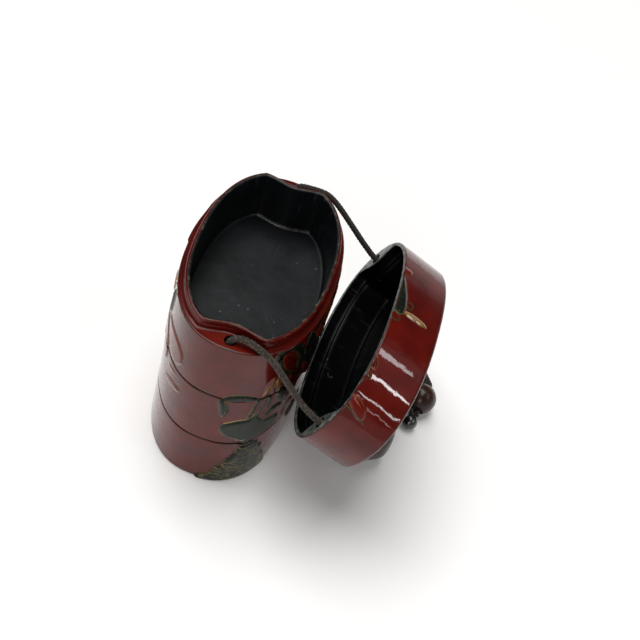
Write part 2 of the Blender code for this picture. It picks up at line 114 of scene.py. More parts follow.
beadSizes = {
    "radius": 4.15, "bore": 3.8, "place": (48.4, 14.4, 4.15), "around": 96,
    "knotRadius": 2.1, "knotPlace": (47.3, 7.4, 2.15),
}
toggle = {
    "place": (32.4, 4.6), "halfThick": 6.3, "halfLong": 16.5, "height": 16.4, "turn": 27.0,
    "fullness": 3.2, "flat": 0.4, "groove": 0.5, "grooves": 5, "holeDepth": 5.0,
    "holeAlong": 2.5, "holeLevel": 6.0,
}
cordSizes = {
    "thick": 1.4, "turn": 2.8, "lean": 0.2, "overShoulder": 1.65, "overLid": 2.3,
    "strands": 4, "strandRadius": 0.345, "strandReach": 0.40, "twistEvery": 3.4, "step": 0.26,
    "grooveLevel": 1.1, "sides": 8,
}


# the cord's route, as in part.py
def quarterTurn(corner, back, onward, radius):
    corner, back, onward = (np.array(v, dtype=float) for v in (corner, back, onward))
    middle = corner + (back + onward) * radius
    turns = np.radians((0, 22.5, 45, 67.5, 90))
    return [middle - radius * (onward * math.cos(t) + back * math.sin(t)) for t in turns]


def boreLines():
    ahead = np.subtract(beadSizes["knotPlace"], beadSizes["place"])
    ahead = ahead / np.linalg.norm(ahead)
    aside = np.cross(ahead, (0, 0, 1))
    return ahead, aside / np.linalg.norm(aside) * (cordSizes["thick"] + case["fit"]) / 2


def cordRoute():
    ahead, beside = boreLines()
    bead, knot = np.array(beadSizes["place"]), np.array(beadSizes["knotPlace"])
    first, second = bead + beside, bead - beside
    knotEnd = ahead * (beadSizes["knotRadius"] + case["fit"])
    mouth, rear = ahead * beadSizes["radius"], -ahead * beadSizes["radius"]
    up, down, right, inward = (0, 0, 1), (0, 0, -1), (1, 0, 0), (0, 1, 0)
    reach, radius = case["runnerReach"], cordSizes["turn"]
    shoulder = case["bottom"] + 2 * case["tier"] + cordSizes["overShoulder"]
    overLid = lidSizes["height"] + cordSizes["overLid"]
    route = [knot + beside - knotEnd, first + mouth * 0.9, first + rear, first + rear * 1.1]
    route += [(47.9, 20.6, 6.2), (46.0, 21.4, 8.2), (43.8, 18.5, 11.6)]
    route += [(42.8, 12.5, 15.6), (42.0, 4.0, 20.2), (40.8, -6.0, 24.6)]
    route += list(inLid(quarterTurn((0, -reach, overLid), inward, down, radius)))
    route += list(inLid([(0, -reach, lidSizes["height"] / 2), (0, -reach, -case["fit"])]))
    route += [(18.4, -28.5, 39.1), (15.9, -28.3, 41.6), (12.3, -28.0, 45.4)]
    route += [(9.4, -27.2, 47.7), (6.0, -26.2, 48.8)]
    route += quarterTurn((-cordSizes["lean"], -reach, shoulder), right, down, radius)
    route += quarterTurn((0, -reach, cordSizes["grooveLevel"]), up, inward, radius)
    route += quarterTurn((0, reach, cordSizes["grooveLevel"]), (0, -1, 0), up, radius)
    route += quarterTurn((-cordSizes["lean"], reach, shoulder), down, right, radius)
    route += [(6.0, 25.8, 49.2), (8.4, 25.8, 48.8), (11.0, 25.2, 47.6), (14.1, 24.2, 45.6)]
    route += [(17.2, 23.2, 43.4), (20.2, 22.5, 41.1)]
    levels = (-case["fit"], lidSizes["height"] / 2, lidSizes["height"], overLid)
    route += list(inLid([(0, reach, level) for level in levels]))
    route += [(40.2, 22.4, 29.6), (42.4, 23.0, 24.0), (43.4, 23.8, 17.0), (44.2, 24.4, 11.4)]
    route += [(45.8, 23.6, 6.8), (47.7, 22.2, 5.4)]
    route += [second + rear * 1.1, second + rear, second + mouth * 0.9, knot - beside - knotEnd]
    return [np.array(point, dtype=float) for point in route]


def togglePoint(aside, along, up):
    turn = math.radians(toggle["turn"])
    across = np.array((math.cos(turn), math.sin(turn), 0))
    ahead = np.array((-math.sin(turn), math.cos(turn), 0))
    return np.array((*toggle["place"], up)) + across * aside + ahead * along


def cordEndRoute():
    inner = toggle["halfThick"] - toggle["holeDepth"] + case["fit"]
    asides = (inner, toggle["halfThick"] * 0.8, toggle["halfThick"])
    route = [togglePoint(a, toggle["holeAlong"], toggle["holeLevel"]) for a in asides]
    route += [np.array((40.8, 9.4, 5.0)), np.array((43.0, 7.8, 3.4))]
    knot = np.array(beadSizes["knotPlace"])
    towards = (route[-1] - knot) / np.linalg.norm(route[-1] - knot)
    return [*route, knot + towards * (beadSizes["knotRadius"] + case["fit"])]


def smoothRoute(points, step):
    dense = []
    for span in range(len(points) - 1):
        before, here = points[max(span - 1, 0)], points[span]
        after, beyond = points[span + 1], points[min(span + 2, len(points) - 1)]
        length = np.linalg.norm(after - here)
        leave = (after - before) / np.linalg.norm(after - before) * length
        arrive = (beyond - here) / np.linalg.norm(beyond - here) * length
        for part in np.linspace(0, 1, 16, endpoint=False):
            square, cube = part**2, part**3
            dense.append(
                here * (2 * cube - 3 * square + 1) + leave * (cube - 2 * square + part)
                + after * (3 * square - 2 * cube) + arrive * (cube - square)
            )
    dense = np.array([*dense, points[-1]])
    run = np.concatenate(([0], np.cumsum(np.linalg.norm(np.diff(dense, axis=0), axis=1))))
    even = np.linspace(0, run[-1], max(int(run[-1] / step), 8))
    return np.column_stack([np.interp(even, run, dense[:, axis]) for axis in range(3)]), run[-1]


def setInputs(node, inputs):
    for name, value in inputs.items() if isinstance(inputs, dict) else enumerate(inputs):
        if isinstance(value, bpy.types.NodeSocket):
            node.id_data.links.new(value, node.inputs[name])
        else:
            painted = isinstance(value, str) and value.startswith("#")
            node.inputs[name].default_value = srgb(value) if painted else value


# adds a node with its settings, its inputs by name or in order and a ramp's colour stops,
# and gives back the output asked for
def addNode(tree, kind, inputs=(), output=0, stops=(), **settings):
    node = tree.nodes.new(kind)
    for name, value in settings.items():
        setattr(node, name, value)
    setInputs(node, inputs)
    if stops:
        elements = node.color_ramp.elements
        while len(elements) < len(stops):
            elements.new(0.5)
        for element, (place, colour) in zip(elements, stops):
            element.position, element.color = place, srgb(colour)
    return node.outputs if output is None else node.outputs[output]


smooth = {"interpolation_type": "SMOOTHSTEP"}
blend = {"output": 2, "data_type": "RGBA"}


def newMaterial(name):
    material = bpy.data.materials.new(name)
    material.use_nodes = True
    add = functools.partial(addNode, material.node_tree)
    return material, add, material.node_tree.nodes["Principled BSDF"]


# twisted silk, worn and dusty: matt with a dry sheen, with painted shade darkening it where it goes
# behind the lid
def cordSilk():
    material, add, shader = newMaterial("silkCordTwisted")
    place = add("ShaderNodeTexCoord", output="Object")
    fibre = add("ShaderNodeTexNoise",
                {"Vector": place, "Scale": 1900, "Detail": 4, "Roughness": 0.75})
    seen = add("ShaderNodeValToRGB", [fibre],
               stops=((0.36, "#0f0a07"), (0.52, "#2d231a"), (0.68, "#655544")))
    shaded = add("ShaderNodeValToRGB", [fibre], stops=((0.3, "#120d09"), (0.7, "#2e241b")))
    run = add("ShaderNodeAttribute", output="Fac", attribute_name="run")
    # painted shade: the stretch of cord behind the lid takes the darker shaded colour
    paintedShadeBehindLid = add("ShaderNodeMapRange", [run, 0.55, 0.6], **smooth)
    setInputs(shader, {
        "Base Color": add("ShaderNodeMix", {0: paintedShadeBehindLid, 6: seen, 7: shaded}, **blend),
        "Roughness": 0.8, "Sheen Weight": 0.08,
        "Normal": add("ShaderNodeBump", {"Height": fibre, "Distance": 0.00014}),
    })
    return material


# strands wound round the route by geometry nodes
def strandTree():
    tree = bpy.data.node_groups.new("twistedStrands", "GeometryNodeTree")
    sockets = tree.interface
    sockets.new_socket("Geometry", in_out="INPUT", socket_type="NodeSocketGeometry")
    for name in ("Strand Radius", "Strand Reach", "Twist Every"):
        sockets.new_socket(name, in_out="INPUT", socket_type="NodeSocketFloat")
    sockets.new_socket("Material", in_out="INPUT", socket_type="NodeSocketMaterial")
    sockets.new_socket("Geometry", in_out="OUTPUT", socket_type="NodeSocketGeometry")
    add = functools.partial(addNode, tree)
    given = add("NodeGroupInput", output=None)
    profile = add("GeometryNodeCurvePrimitiveCircle",
                  {"Resolution": cordSizes["sides"], "Radius": given["Strand Radius"]})
    spline = add("GeometryNodeSplineParameter", output=None)
    normal, tangent = add("GeometryNodeInputNormal"), add("GeometryNodeInputTangent")
    marked = add("GeometryNodeStoreNamedAttribute",
                 {"Geometry": given["Geometry"], "Name": "run", "Value": spline["Factor"]})
    turns = add("ShaderNodeMath", [spline["Length"], given["Twist Every"]], operation="DIVIDE")
    angle = add("ShaderNodeMath", [turns, 2 * math.pi], operation="MULTIPLY")
    joined = add("GeometryNodeJoinGeometry")
    for strand in range(cordSizes["strands"]):
        share = 2 * math.pi * strand / cordSizes["strands"]
        own = add("ShaderNodeMath", [angle, share], operation="ADD")
        turned = add("ShaderNodeVectorRotate", {"Vector": normal, "Axis": tangent, "Angle": own})
        away = add("ShaderNodeVectorMath", {0: turned, "Scale": given["Strand Reach"]},
                   operation="SCALE")
        moved = add("GeometryNodeSetPosition", {"Geometry": marked, "Offset": away})
        tube = add("GeometryNodeCurveToMesh",
                   {"Curve": moved, "Profile Curve": profile, "Fill Caps": True})
        tree.links.new(tube, joined.node.inputs[0])
    whole = add("GeometryNodeRealizeInstances", [joined])
    soft = add("GeometryNodeSetShadeSmooth", {"Geometry": whole})
    finish = add("GeometryNodeSetMaterial", {"Geometry": soft, "Material": given["Material"]})
    add("NodeGroupOutput", {"Geometry": finish}, output=None)
    return tree


def twistedCord(name, points, tree):
    data = bpy.data.curves.new(name, "CURVE")
    data.dimensions = "3D"
    spline = data.splines.new("POLY")
    spline.points.add(len(points) - 1)
    for point, place in zip(spline.points, toWorld(points)):
        point.co = (*place, 1)
    route = bpy.data.objects.new(f"{name}_route", data)
    bpy.context.scene.collection.objects.link(route)
    step = route.modifiers.new("strands", "NODES")
    step.node_group = tree
    values = {"Strand Radius": cordSizes["strandRadius"] / 1000,
              "Strand Reach": cordSizes["strandReach"] / 1000,
              "Twist Every": cordSizes["twistEvery"] / 1000, "Material": silk}
    for item in tree.interface.items_tree:
        if item.in_out == "INPUT" and item.name in values:
            step[item.identifier] = values[item.name]
    graph = bpy.context.evaluated_depsgraph_get()
    mesh = bpy.data.meshes.new_from_object(route.evaluated_get(graph), depsgraph=graph)
    bpy.data.objects.remove(route)
    made = bpy.data.objects.new(name, mesh)
    bpy.context.scene.collection.objects.link(made)
    return made


def dress(piece, node):
    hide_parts(node)
    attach(piece, "root")


silk, strands = cordSilk(), strandTree()
cordPath, cordLength = smoothRoute(cordRoute(), cordSizes["step"])
endPath, endLength = smoothRoute(cordEndRoute(), cordSizes["step"])
cord = twistedCord("cord_twisted", cordPath, strands)
cordEnd = twistedCord("cord_end_twisted", endPath, strands)
dress(cord, "cord")
dress(cordEnd, "cord_end")
print("stage: cord", round(cordLength, 1), "mm and", round(endLength, 1), "mm")


# the raised and painted figures, in millimetres along the wall and up it
# tone picks the colour within a group, lift is how far the figure stands out
def bladeShape(start, end, half, bend=0.0, grow=0.8, close=0.7, points=22):
    start, end = np.array(start, dtype=float), np.array(end, dtype=float)
    ahead = end - start
    aside = np.array((-ahead[1], ahead[0])) / np.hypot(*ahead)
    share = np.linspace(0, 1, points)
    widest = grow / (grow + close)
    width = half * (share / widest) ** grow * ((1 - share) / (1 - widest)) ** close
    middle = start + share[:, None] * ahead + (bend * 4 * share * (1 - share))[:, None] * aside
    left, right = middle + width[:, None] * aside, middle - width[:, None] * aside
    return np.vstack((left, right[-2:0:-1]))


def curveShape(points, closed=False, steps=8):
    points = np.array(points, dtype=float)
    count = len(points)
    line = []
    for span in range(count if closed else count - 1):
        pick = [span - 1, span, span + 1, span + 2]
        a, b, c, d = points[[i % count if closed else min(max(i, 0), count - 1) for i in pick]]
        for t in np.linspace(0, 1, steps, endpoint=False):
            line.append(0.5 * (2 * b + (c - a) * t + (2 * a - 5 * b + 4 * c - d) * t * t
                               + (3 * b - a - 3 * c + d) * t**3))
    if not closed:
        line.append(points[-1])
    return np.array(line)


# how far each place lies inside a shape, in millimetres, and less than 0 outside it
def shapeDistance(along, up, shape, closed):
    best = np.full(along.shape, 99.0)
    inside = np.zeros(along.shape, dtype=bool)
    ends = np.roll(shape, -1, axis=0) if closed else shape[1:]
    for (ax, ay), (bx, by) in zip(shape, ends):
        dx, dy = bx - ax, by - ay
        if dx == 0 and dy == 0:
            continue
        share = np.clip(((along - ax) * dx + (up - ay) * dy) / (dx * dx + dy * dy), 0, 1)
        best = np.minimum(best, np.hypot(along - ax - share * dx, up - ay - share * dy))
        if closed and ay != by:
            crossed = (ay > up) != (by > up)
            inside ^= crossed & (along < dx * (up - ay) / dy + ax)
    return np.where(inside, best, -best) if closed else -best


# a filled figure whose colour runs from one point towards another
def patch(group, shape, start, end, tone, lift):
    return {"group": group, "shape": shape, "from": start, "to": end, "tone": tone, "lift": lift}


def petal(start, end, half, tone, lift=0.5, bend=0.0, grow=0.9, close=0.6):
    return patch("petal", bladeShape(start, end, half, bend, grow, close), start, end, tone, lift)


def leaf(start, end, half, tone, lift=0.4, bend=0.0, grow=0.7, close=0.8):
    return patch("leaf", bladeShape(start, end, half, bend, grow, close), start, end, tone, lift)


def stroke(points, radius, group="gold", lift=0.15, tone=0.5):
    made = patch(group, curveShape(points), points[0], points[-1], tone, lift)
    made["radius"] = radius
    return made


# petals are given as direction in degrees, near end, far end, half width and the two tapers
def flower(at, petals, tone, lift=0.5, heart=2.6):
    centre = np.array(at, dtype=float)

    def towards(angle):
        return np.array((math.cos(math.radians(angle)), math.sin(math.radians(angle))))

    made = []
    for angle, near, reach, half, grow, close in petals:
        ahead = towards(angle)
        made.append(petal(centre + ahead * near, centre + ahead * reach, half, tone, lift, 0.0,
                          grow, close))
    ring = np.radians(np.arange(0, 360, 15))
    circle = np.column_stack((at[0] + heart * np.cos(ring), at[1] + heart * np.sin(ring)))
    made.append(patch("cream", circle, at, (at[0] + 1, at[1]), 0.5, lift * 1.2))
    # stamens with their dots round the heart, and dark pips in it
    for angle in np.arange(12, 372, 30):
        ahead = towards(angle)
        dot, pip = centre + ahead * heart * 1.45, centre + ahead * heart * 0.5
        made.append(stroke([centre + ahead * heart * 0.9, dot], 0.07, "gold", 0.08, 0.6))
        made.append(stroke([dot, dot + ahead * 0.05], 0.24, "gold", 0.16, 0.9))
        made.append(stroke([pip, pip + ahead * 0.05], heart * 0.12, "dark", -0.1))
    # fine veins along each petal
    for angle, near, reach, half, grow, close in petals:
        for swing in (-7, 0, 7):
            ahead = towards(angle + swing)
            vein = [centre + ahead * (near + 0.5), centre + ahead * (near + (reach - near) * 0.5)]
            made.append(stroke(vein, 0.03, "dark", -0.05))
    return made


figures = []
# the large flower that runs round from the front to the left side
figures += flower((-27.0, 42.0), [
    (-22, 7.5, 19.4, 3.3, 1.0, 0.5), (-56, 7.0, 18.0, 3.2, 0.9, 0.6),
    (-90, 6.0, 17.5, 3.6, 0.8, 0.6), (168, 5.0, 15.0, 3.0, 0.7, 0.5),
    (-158, 5.0, 18.0, 4.2, 0.8, 0.6), (-124, 5.0, 18.5, 4.2, 0.8, 0.6),
], 0.25, 0.32)
figures += [
    stroke([(-10.9, 45.8), (-8.9, 42.4), (-8.6, 38.2), (-9.2, 34.6)], 0.1, "gold", 0.1, 0.3),
    stroke([(-9.4, 34.4), (-10.8, 32.6), (-11.4, 33.8)], 0.12, "gold", 0.1, 0.7),
    leaf((-20.2, 46.6), (-20.6, 38.0), 1.0, 0.1, 0.45, -0.4),
]
# the smaller flowers of the right side and the back
for at, reach, turn in (
    ((34.5, 34.5), 11.5, 12), ((-55.0, 33.0), 15.0, 20), ((58.0, 29.0), 13.0, 5),
):
    petals = [(turn + 45 * i, reach * 0.24, reach, reach * 0.27, 0.8, 0.55) for i in range(8)]
    figures += flower(at, petals, 0.5, 0.6, reach * 0.19)
figures += [
    # dark red petals at the front's right
    petal((18.6, 34.8), (18.4, 27.6), 1.6, 0.72, 0.35),
    petal((23.4, 30.0), (19.6, 23.2), 2.2, 0.75, 0.4),
    petal((25.6, 22.0), (20.6, 16.6), 1.9, 0.75, 0.4),
    petal((19.8, 31.0), (20.2, 23.4), 1.5, 0.77, 0.3),
    # the loop of leaves round the dark red eye
    stroke([(11.6, 44.8), (12.2, 46.6), (14.8, 46.9), (17.8, 44.2), (20.2, 40.0), (21.0, 36.0)],
           1.05, "leaf", 0.45, 0.15),
    stroke([(12.4, 43.6), (13.8, 40.2), (16.6, 36.6), (19.6, 34.8)], 0.5, "leaf", 0.4, 0.2),
    petal((13.2, 45.2), (18.8, 36.4), 1.5, 0.8, 0.3, 0, 0.6, 0.6),
    # a leaf of the design, coloured near black also as a painted reflection of the lid's dark
    # inside, which the wall mirrors here
    patch("leaf", curveShape([(21.6, 46.8), (25.2, 42.6), (27.6, 36.6), (27.2, 31.8), (24.4, 33.4),
                              (22.4, 37.8), (20.6, 42.6)], True, 4),
          (21.6, 46.8), (27.2, 31.8), 0.05, 0.4),
    stroke([(19.4, 46.6), (21.8, 42.2), (24.0, 37.4)], 0.1, "gold", 0.1, 0.1),
    # buds that hang under the loop, ochre and cream over red
    petal((12.4, 38.8), (11.2, 32.4), 1.1, 0.86, 0.35),
    petal((14.0, 38.0), (13.2, 31.6), 1.1, 0.82, 0.35),
    petal((15.8, 36.6), (15.6, 29.4), 1.3, 0.77, 0.35),
    patch("cream", bladeShape((12.4, 38.4), (11.7, 33.4), 0.5, 0.1, 0.8, 0.8),
          (12.4, 38.4), (11.7, 33.4), 0.5, 0.3),
    patch("cream", bladeShape((13.4, 37.6), (13.6, 33.0), 0.42, 0.1, 0.8, 0.8),
          (13.4, 37.6), (13.6, 33.0), 0.65, 0.3),
    stroke([(11.4, 36.0), (10.6, 31.9)], 0.12, "gold", 0.1, 0.4),
    # the arched leaf on the upper seam, the one that hangs from it, and their stems
    leaf((1.2, 30.9), (10.4, 31.1), 1.15, 0.35, 0.45, 1.7, 0.45, 0.45),
    leaf((1.6, 31.4), (3.0, 25.0), 1.15, 0.45, 0.45, 0.5, 0.5, 0.6),
    stroke([(2.4, 31.0), (3.3, 28.6), (2.9, 26.0)], 0.1, "gold", 0.12, 0.2),
    stroke([(1.4, 31.6), (4.0, 33.6), (7.2, 33.7), (9.6, 32.3)], 0.1, "gold", 0.12, 0.3),
    stroke([(10.2, 31.4), (9.7, 28.4), (9.0, 25.2)], 0.5, "leaf", 0.3, 0.5),
    stroke([(9.5, 31.0), (9.0, 28.2), (8.2, 25.2)], 0.1, "gold", 0.1, 0.2),
    stroke([(10.6, 31.4), (12.4, 31.4), (13.4, 29.6), (13.2, 27.0)], 0.55, "leaf", 0.35, 0.4),
    stroke([(12.0, 30.4), (11.4, 27.6), (11.0, 25.0)], 0.38, "leaf", 0.3, 0.45),
    leaf((12.6, 24.0), (18.4, 25.0), 1.25, 0.5, 0.45, 0.35),
    leaf((15.0, 33.6), (18.2, 24.8), 1.4, 0.05, 0.4, 0.3),
    # the broad leaf with lobes on the middle tier
    patch("leaf", curveShape([
        (3.0, 20.6), (3.6, 22.9), (6.2, 24.2), (9.0, 24.6), (10.4, 25.8), (11.6, 24.2),
        (13.2, 22.4), (16.0, 21.6), (18.4, 20.4), (18.6, 18.2), (15.8, 16.4), (12.0, 15.6),
        (9.4, 14.8), (7.4, 17.0), (4.6, 18.4)], True, 5), (1.6, 19.6), (20, 21), 0.85, 0.5),
    stroke([(3.6, 23.0), (6.2, 24.3), (9.0, 24.7), (10.2, 26.0)], 0.11, "gold", 0.12, 0.55),
    stroke([(7.4, 16.6), (9.2, 16.9)], 0.14, "gold", 0.1, 0.6),
    stroke([(4.4, 19.4), (9.4, 20.4), (14.0, 20.0), (17.0, 20.4)], 0.11, "leaf", -0.16, 0.3),
    petal((20.4, 23.2), (13.6, 22.4), 0.45, 0.5, 0.2),
    leaf((7.4, 15.4), (12.6, 13.4), 1.3, 0.3, 0.4, 0.6),
    stroke([(7.2, 15.6), (8.0, 13.6), (10.4, 12.8)], 0.11, "gold", 0.12, 0.4),
    # the rock below it
    patch("rock", curveShape([
        (1.4, -0.5), (1.6, 1.8), (3.4, 2.6), (4.2, 5.4), (5.8, 6.6), (6.6, 9.2), (7.8, 11.0),
        (8.8, 13.4), (11.4, 14.2), (13.6, 13.8), (14.6, 11.6), (16.0, 10.6), (16.2, 7.4),
        (17.8, 5.2), (18.2, -0.5)], True, 4), (6, -0.5), (9, 13), 0.5, 0.55),
    # left of the middle, stems and tips in fine lines
    stroke([(-10.2, 27.2), (-8.8, 28.0), (-9.4, 29.4), (-10.8, 29.2)], 0.12, "gold", 0.1, 0.7),
    stroke([(-13.8, 23.6), (-11.2, 21.4), (-9.0, 20.3)], 0.12, "dark", 0.08),
    petal((-15.6, 24.2), (-7.8, 26.4), 1.1, 0.3, 0.2, 0.3),
    petal((-14.8, 28.6), (-10.6, 29.8), 0.7, 0.3, 0.15),
]
# leaves and a low rock of the left side and the back, plainer
for start, end, half, bend, tone in (
    ((25.0, 12.0), (38.0, 6.0), 3.2, 1.2, 0.4), ((-31.0, 26.0), (-37.0, 12.0), 2.4, 1.0, 0.5),
    ((-41.0, 22.0), (-52.0, 12.0), 3.0, -1.2, 0.4), ((45.0, 20.0), (60.0, 14.0), 3.2, 1.4, 0.5),
    ((68.0, 30.0), (70.0, 46.0), 2.6, -1.2, 0.3), ((40.0, 44.0), (50.0, 40.0), 2.4, 0.8, 0.3),
    ((34.0, 20.0), (44.0, 26.0), 2.4, -0.8, 0.3), ((-38.0, 12.0), (-44.0, 4.0), 2.2, 0.6, 0.6),
):
    figures.append(leaf(start, end, half, tone, 0.45, bend))
    vein = [start, tuple(np.add(start, end) / 2 + np.array((0, bend * 0.7))), end]
    figures.append(stroke(vein, 0.13, "gold", 0.1, 0.6))
figures += [
    patch("rock", curveShape([
        (-69, -0.5), (-67, 3.6), (-64, 5.0), (-62.6, 9.0), (-59.4, 11.4), (-56.6, 8.6), (-54, 7.4),
        (-51.4, 3.4), (-50, -0.5)], True, 4), (-60, 0), (-60, 11), 0.5, 0.5),
    # what crosses on to the lid, whose rim is at 47.8
    patch("leaf", curveShape([
        (-45.4, 47.4), (-44.4, 48.3), (-41.3, 49.4), (-38.5, 50.2), (-35.7, 50.6), (-34.2, 50.0),
        (-33.8, 48.4), (-35.0, 46.6)], True, 5), (-45.4, 47.4), (-34, 49.4), 0.3, 0.35),
    stroke([(-44.6, 48.3), (-41.3, 49.5), (-38.6, 50.3)], 0.1, "gold", 0.1, 0.2),
    patch("cream", bladeShape((-35.0, 50.0), (-35.2, 56.7), 0.8, 0.25, 0.35, 0.4),
          (-35.0, 50.0), (-35.2, 56.7), 0.8, 0.35),
    stroke([(-34.7, 50.4), (-34.6, 53.0), (-35.0, 56.0)], 0.05, "dark", -0.05),
    stroke([(-35.3, 50.4), (-35.2, 53.0), (-35.3, 55.6)], 0.05, "dark", -0.05),
    stroke([(-38.3, 50.7), (-38.5, 51.7), (-37.5, 52.0), (-36.7, 51.5), (-36.9, 50.7)],
           0.19, "gold", 0.16, 0.8),
    stroke([(-33.9, 48.2), (-33.4, 49.5), (-32.6, 49.8), (-31.8, 48.9), (-31.9, 47.9)],
           0.19, "gold", 0.16, 0.7),
    petal((-47.6, 46.8), (-47.6, 50.1), 1.0, 0.88, 0.22, -0.4),
    petal((-12.2, 46.6), (-8.6, 52.9), 1.35, 0.86, 0.3, 0.3),
    stroke([(-9.6, 47.8), (-9.0, 50.4), (-8.2, 52.6), (-8.2, 53.5)], 0.12, "leaf", 0.1, 0.4),
    petal((-21.6, 46.9), (-19.2, 49.2), 0.9, 0.6, 0.2),
    petal((-18.4, 46.9), (-16.2, 49.0), 0.8, 0.6, 0.2),
]
# a plain spray on the lid's top: a flower and three leaves
topPetals = [(20 + 51.4 * i, 1.8, 8.2, 2.7, 0.8, 0.5) for i in range(7)]
topFigures = flower((-1.0, 3.0), topPetals, 0.6, 0.4, 1.6) + [
    leaf((2.0, -5.0), (-4.0, -15.0), 2.4, 0.4, 0.35, 1.0),
    leaf((3.0, -4.5), (8.0, -12.5), 2.0, 0.5, 0.35, -0.8),
    leaf((2.0, 11.0), (-5.0, 19.0), 2.2, 0.3, 0.35, -0.8),
    stroke([(1.0, -4.0), (1.6, -12.0), (0.2, -19.0)], 0.16, "gold", 0.1, 0.6),
]
groups = ("petal", "leaf", "rock", "gold", "cream", "dark")
# what a field holds far from any figure, and how far round a figure it is worked out
farOut, figureMargin = -5.0, 2.2
print("stage: figures drawn", len(figures))


# how far inside each group's figures a place is, and the colour tone, run and height there
def paintFields(along, up, drawn):
    fields = {name: np.full(along.shape, farOut) for name in groups}
    fields.update((name, np.zeros(along.shape)) for name in ("tone", "run", "height"))
    for figure in drawn:
        shape, radius = np.asarray(figure["shape"], dtype=float), figure.get("radius", 0)
        margin = figureMargin + radius
        low, high = shape.min(axis=0) - margin, shape.max(axis=0) + margin
        near = (along > low[0]) & (along < high[0]) & (up > low[1]) & (up < high[1])
        if not near.any():
            continue
        x, y = along[near], up[near]
        inside = shapeDistance(x, y, shape, "radius" not in figure) + radius
        start, ahead = figure["from"], np.subtract(figure["to"], figure["from"])
        run = ((x - start[0]) * ahead[0] + (y - start[1]) * ahead[1]) / (ahead @ ahead)
        group = fields[figure["group"]]
        wins = inside > group[near]
        group[near] = np.where(wins, inside, group[near])
        shows = wins & (inside > -0.4)
        if figure["group"] != "gold":
            fields["tone"][near] = np.where(shows, figure["tone"], fields["tone"][near])
            fields["run"][near] = np.where(shows, np.clip(run, 0, 1), fields["run"][near])
        soft = min(0.9, 0.45 + np.abs(figure["lift"]))
        share = np.clip((inside + 0.12) / soft, 0, 1)
        raised = figure["lift"] * share * share * (3 - 2 * share)
        if figure["group"] in ("gold", "dark"):
            fields["height"][near] += raised
        else:
            fields["height"][near] = np.maximum(fields["height"][near], raised)
    return fields


# fine bodies, lofted ring by ring on the same oval as the solids: how far a hollow reaches
# towards the case's narrow ends, less in the middle, where the runner is
def endReach(x):
    near = np.clip(np.abs(x) / case["bulgeHalf"], 0, 1)
    return case["endReach"] - case["endBulge"] * 0.5 * (1 + np.cos(math.pi * near))


# the case's outline set in by some millimetres, and for a hollow kept clear of the runners
def ovalRing(inset, clip=None):
    turn = np.linspace(-math.pi / 2, 1.5 * math.pi, case["fineSteps"] + 1)
    power = 2 / case["fullness"]
    x = (case["halfThick"] - inset) * np.sign(np.cos(turn)) * np.abs(np.cos(turn)) ** power
    y = (case["halfWide"] - inset) * np.sign(np.sin(turn)) * np.abs(np.sin(turn)) ** power
    if clip is not None:
        reach = endReach(x) + clip
        y = np.clip(y, -reach, reach)
    run = np.concatenate(([0.0], np.cumsum(np.hypot(np.diff(x), np.diff(y)))))
    even = np.linspace(0, run[-1], case["columns"] + 1)[:-1]
    return np.column_stack((np.interp(even, run, x), np.interp(even, run, y)))


def outward(ring):
    step = np.roll(ring, -1, axis=0) - np.roll(ring, 1, axis=0)
    return np.column_stack((step[:, 1], -step[:, 0])) / np.hypot(*step.T)[:, None]


def insetRing(ring, inset):
    return ring - outward(ring) * inset


# ringAlong is the way round the outside in millimetres, 0 at the middle of the front
outerRing = ovalRing(0)
ringOut = outward(outerRing)
ringRun = np.concatenate(([0.0], np.cumsum(np.hypot(*np.diff(outerRing, axis=0).T))))
girth = ringRun[-1] + np.hypot(*(outerRing[0] - outerRing[-1]))
ringAlong = np.where(ringRun > girth / 2, ringRun - girth, ringRun)
riserRing = ovalRing(case["wall"], case["riserWall"])
hollowRing = ovalRing(case["wall"] + case["riserWall"], 0.0)
recessRing = ovalRing(case["wall"] - case["fit"], case["riserWall"] + case["fit"])


# one row of the loft: ring, level, slot of the faces above it, wear from 0 to 1
def row(ring, level, slot, wear=0.0):
    return {"ring": ring, "level": level, "slot": slot, "wear": wear}


# the rounded top of a wall, on its outer or its inner side
def roundOver(ring, level, radius, outside, slot, wear):
    rows = []
    for turn in np.radians((15, 45, 75)):
        side, drop = (1 - math.cos(turn)) * radius, (1 - math.sin(turn)) * radius
        rows.append(row(insetRing(ring, side if outside else -side), level - drop, slot, wear))
    return rows if outside else rows[::-1]


# the painted wall; base is how high its piece stands when the case is closed
def wallRows(low, high, base):
    count = int(round((high - low) / case["wallStep"])) + 1
    rows = []
    for level in np.linspace(low, high, count):
        fields = paintFields(ringAlong, np.full(ringAlong.shape, base + level), figures)
        edge = min(level - low, high - level)
        made = row(outerRing + ringOut * fields["height"][:, None], level, 0,
                   math.exp(-edge / case["wearReach"]))
        made["fields"], made["base"] = fields, base
        rows.append(made)
    return rows


# the wall's rounded edge, painted as the wall is where it starts
def edgeRows(wallRow, level, radius, top):
    rows = []
    for turn in np.radians((30, 60, 90)):
        side, rise = (1 - math.cos(turn)) * radius, math.sin(turn) * radius
        made = row(wallRow["ring"] - ringOut * side,
                   level - radius + rise if top else level + radius - rise, 0, 1.0)
        made["fields"], made["base"] = wallRow["fields"], wallRow["base"]
        rows.append(made)
    return rows if top else rows[::-1]


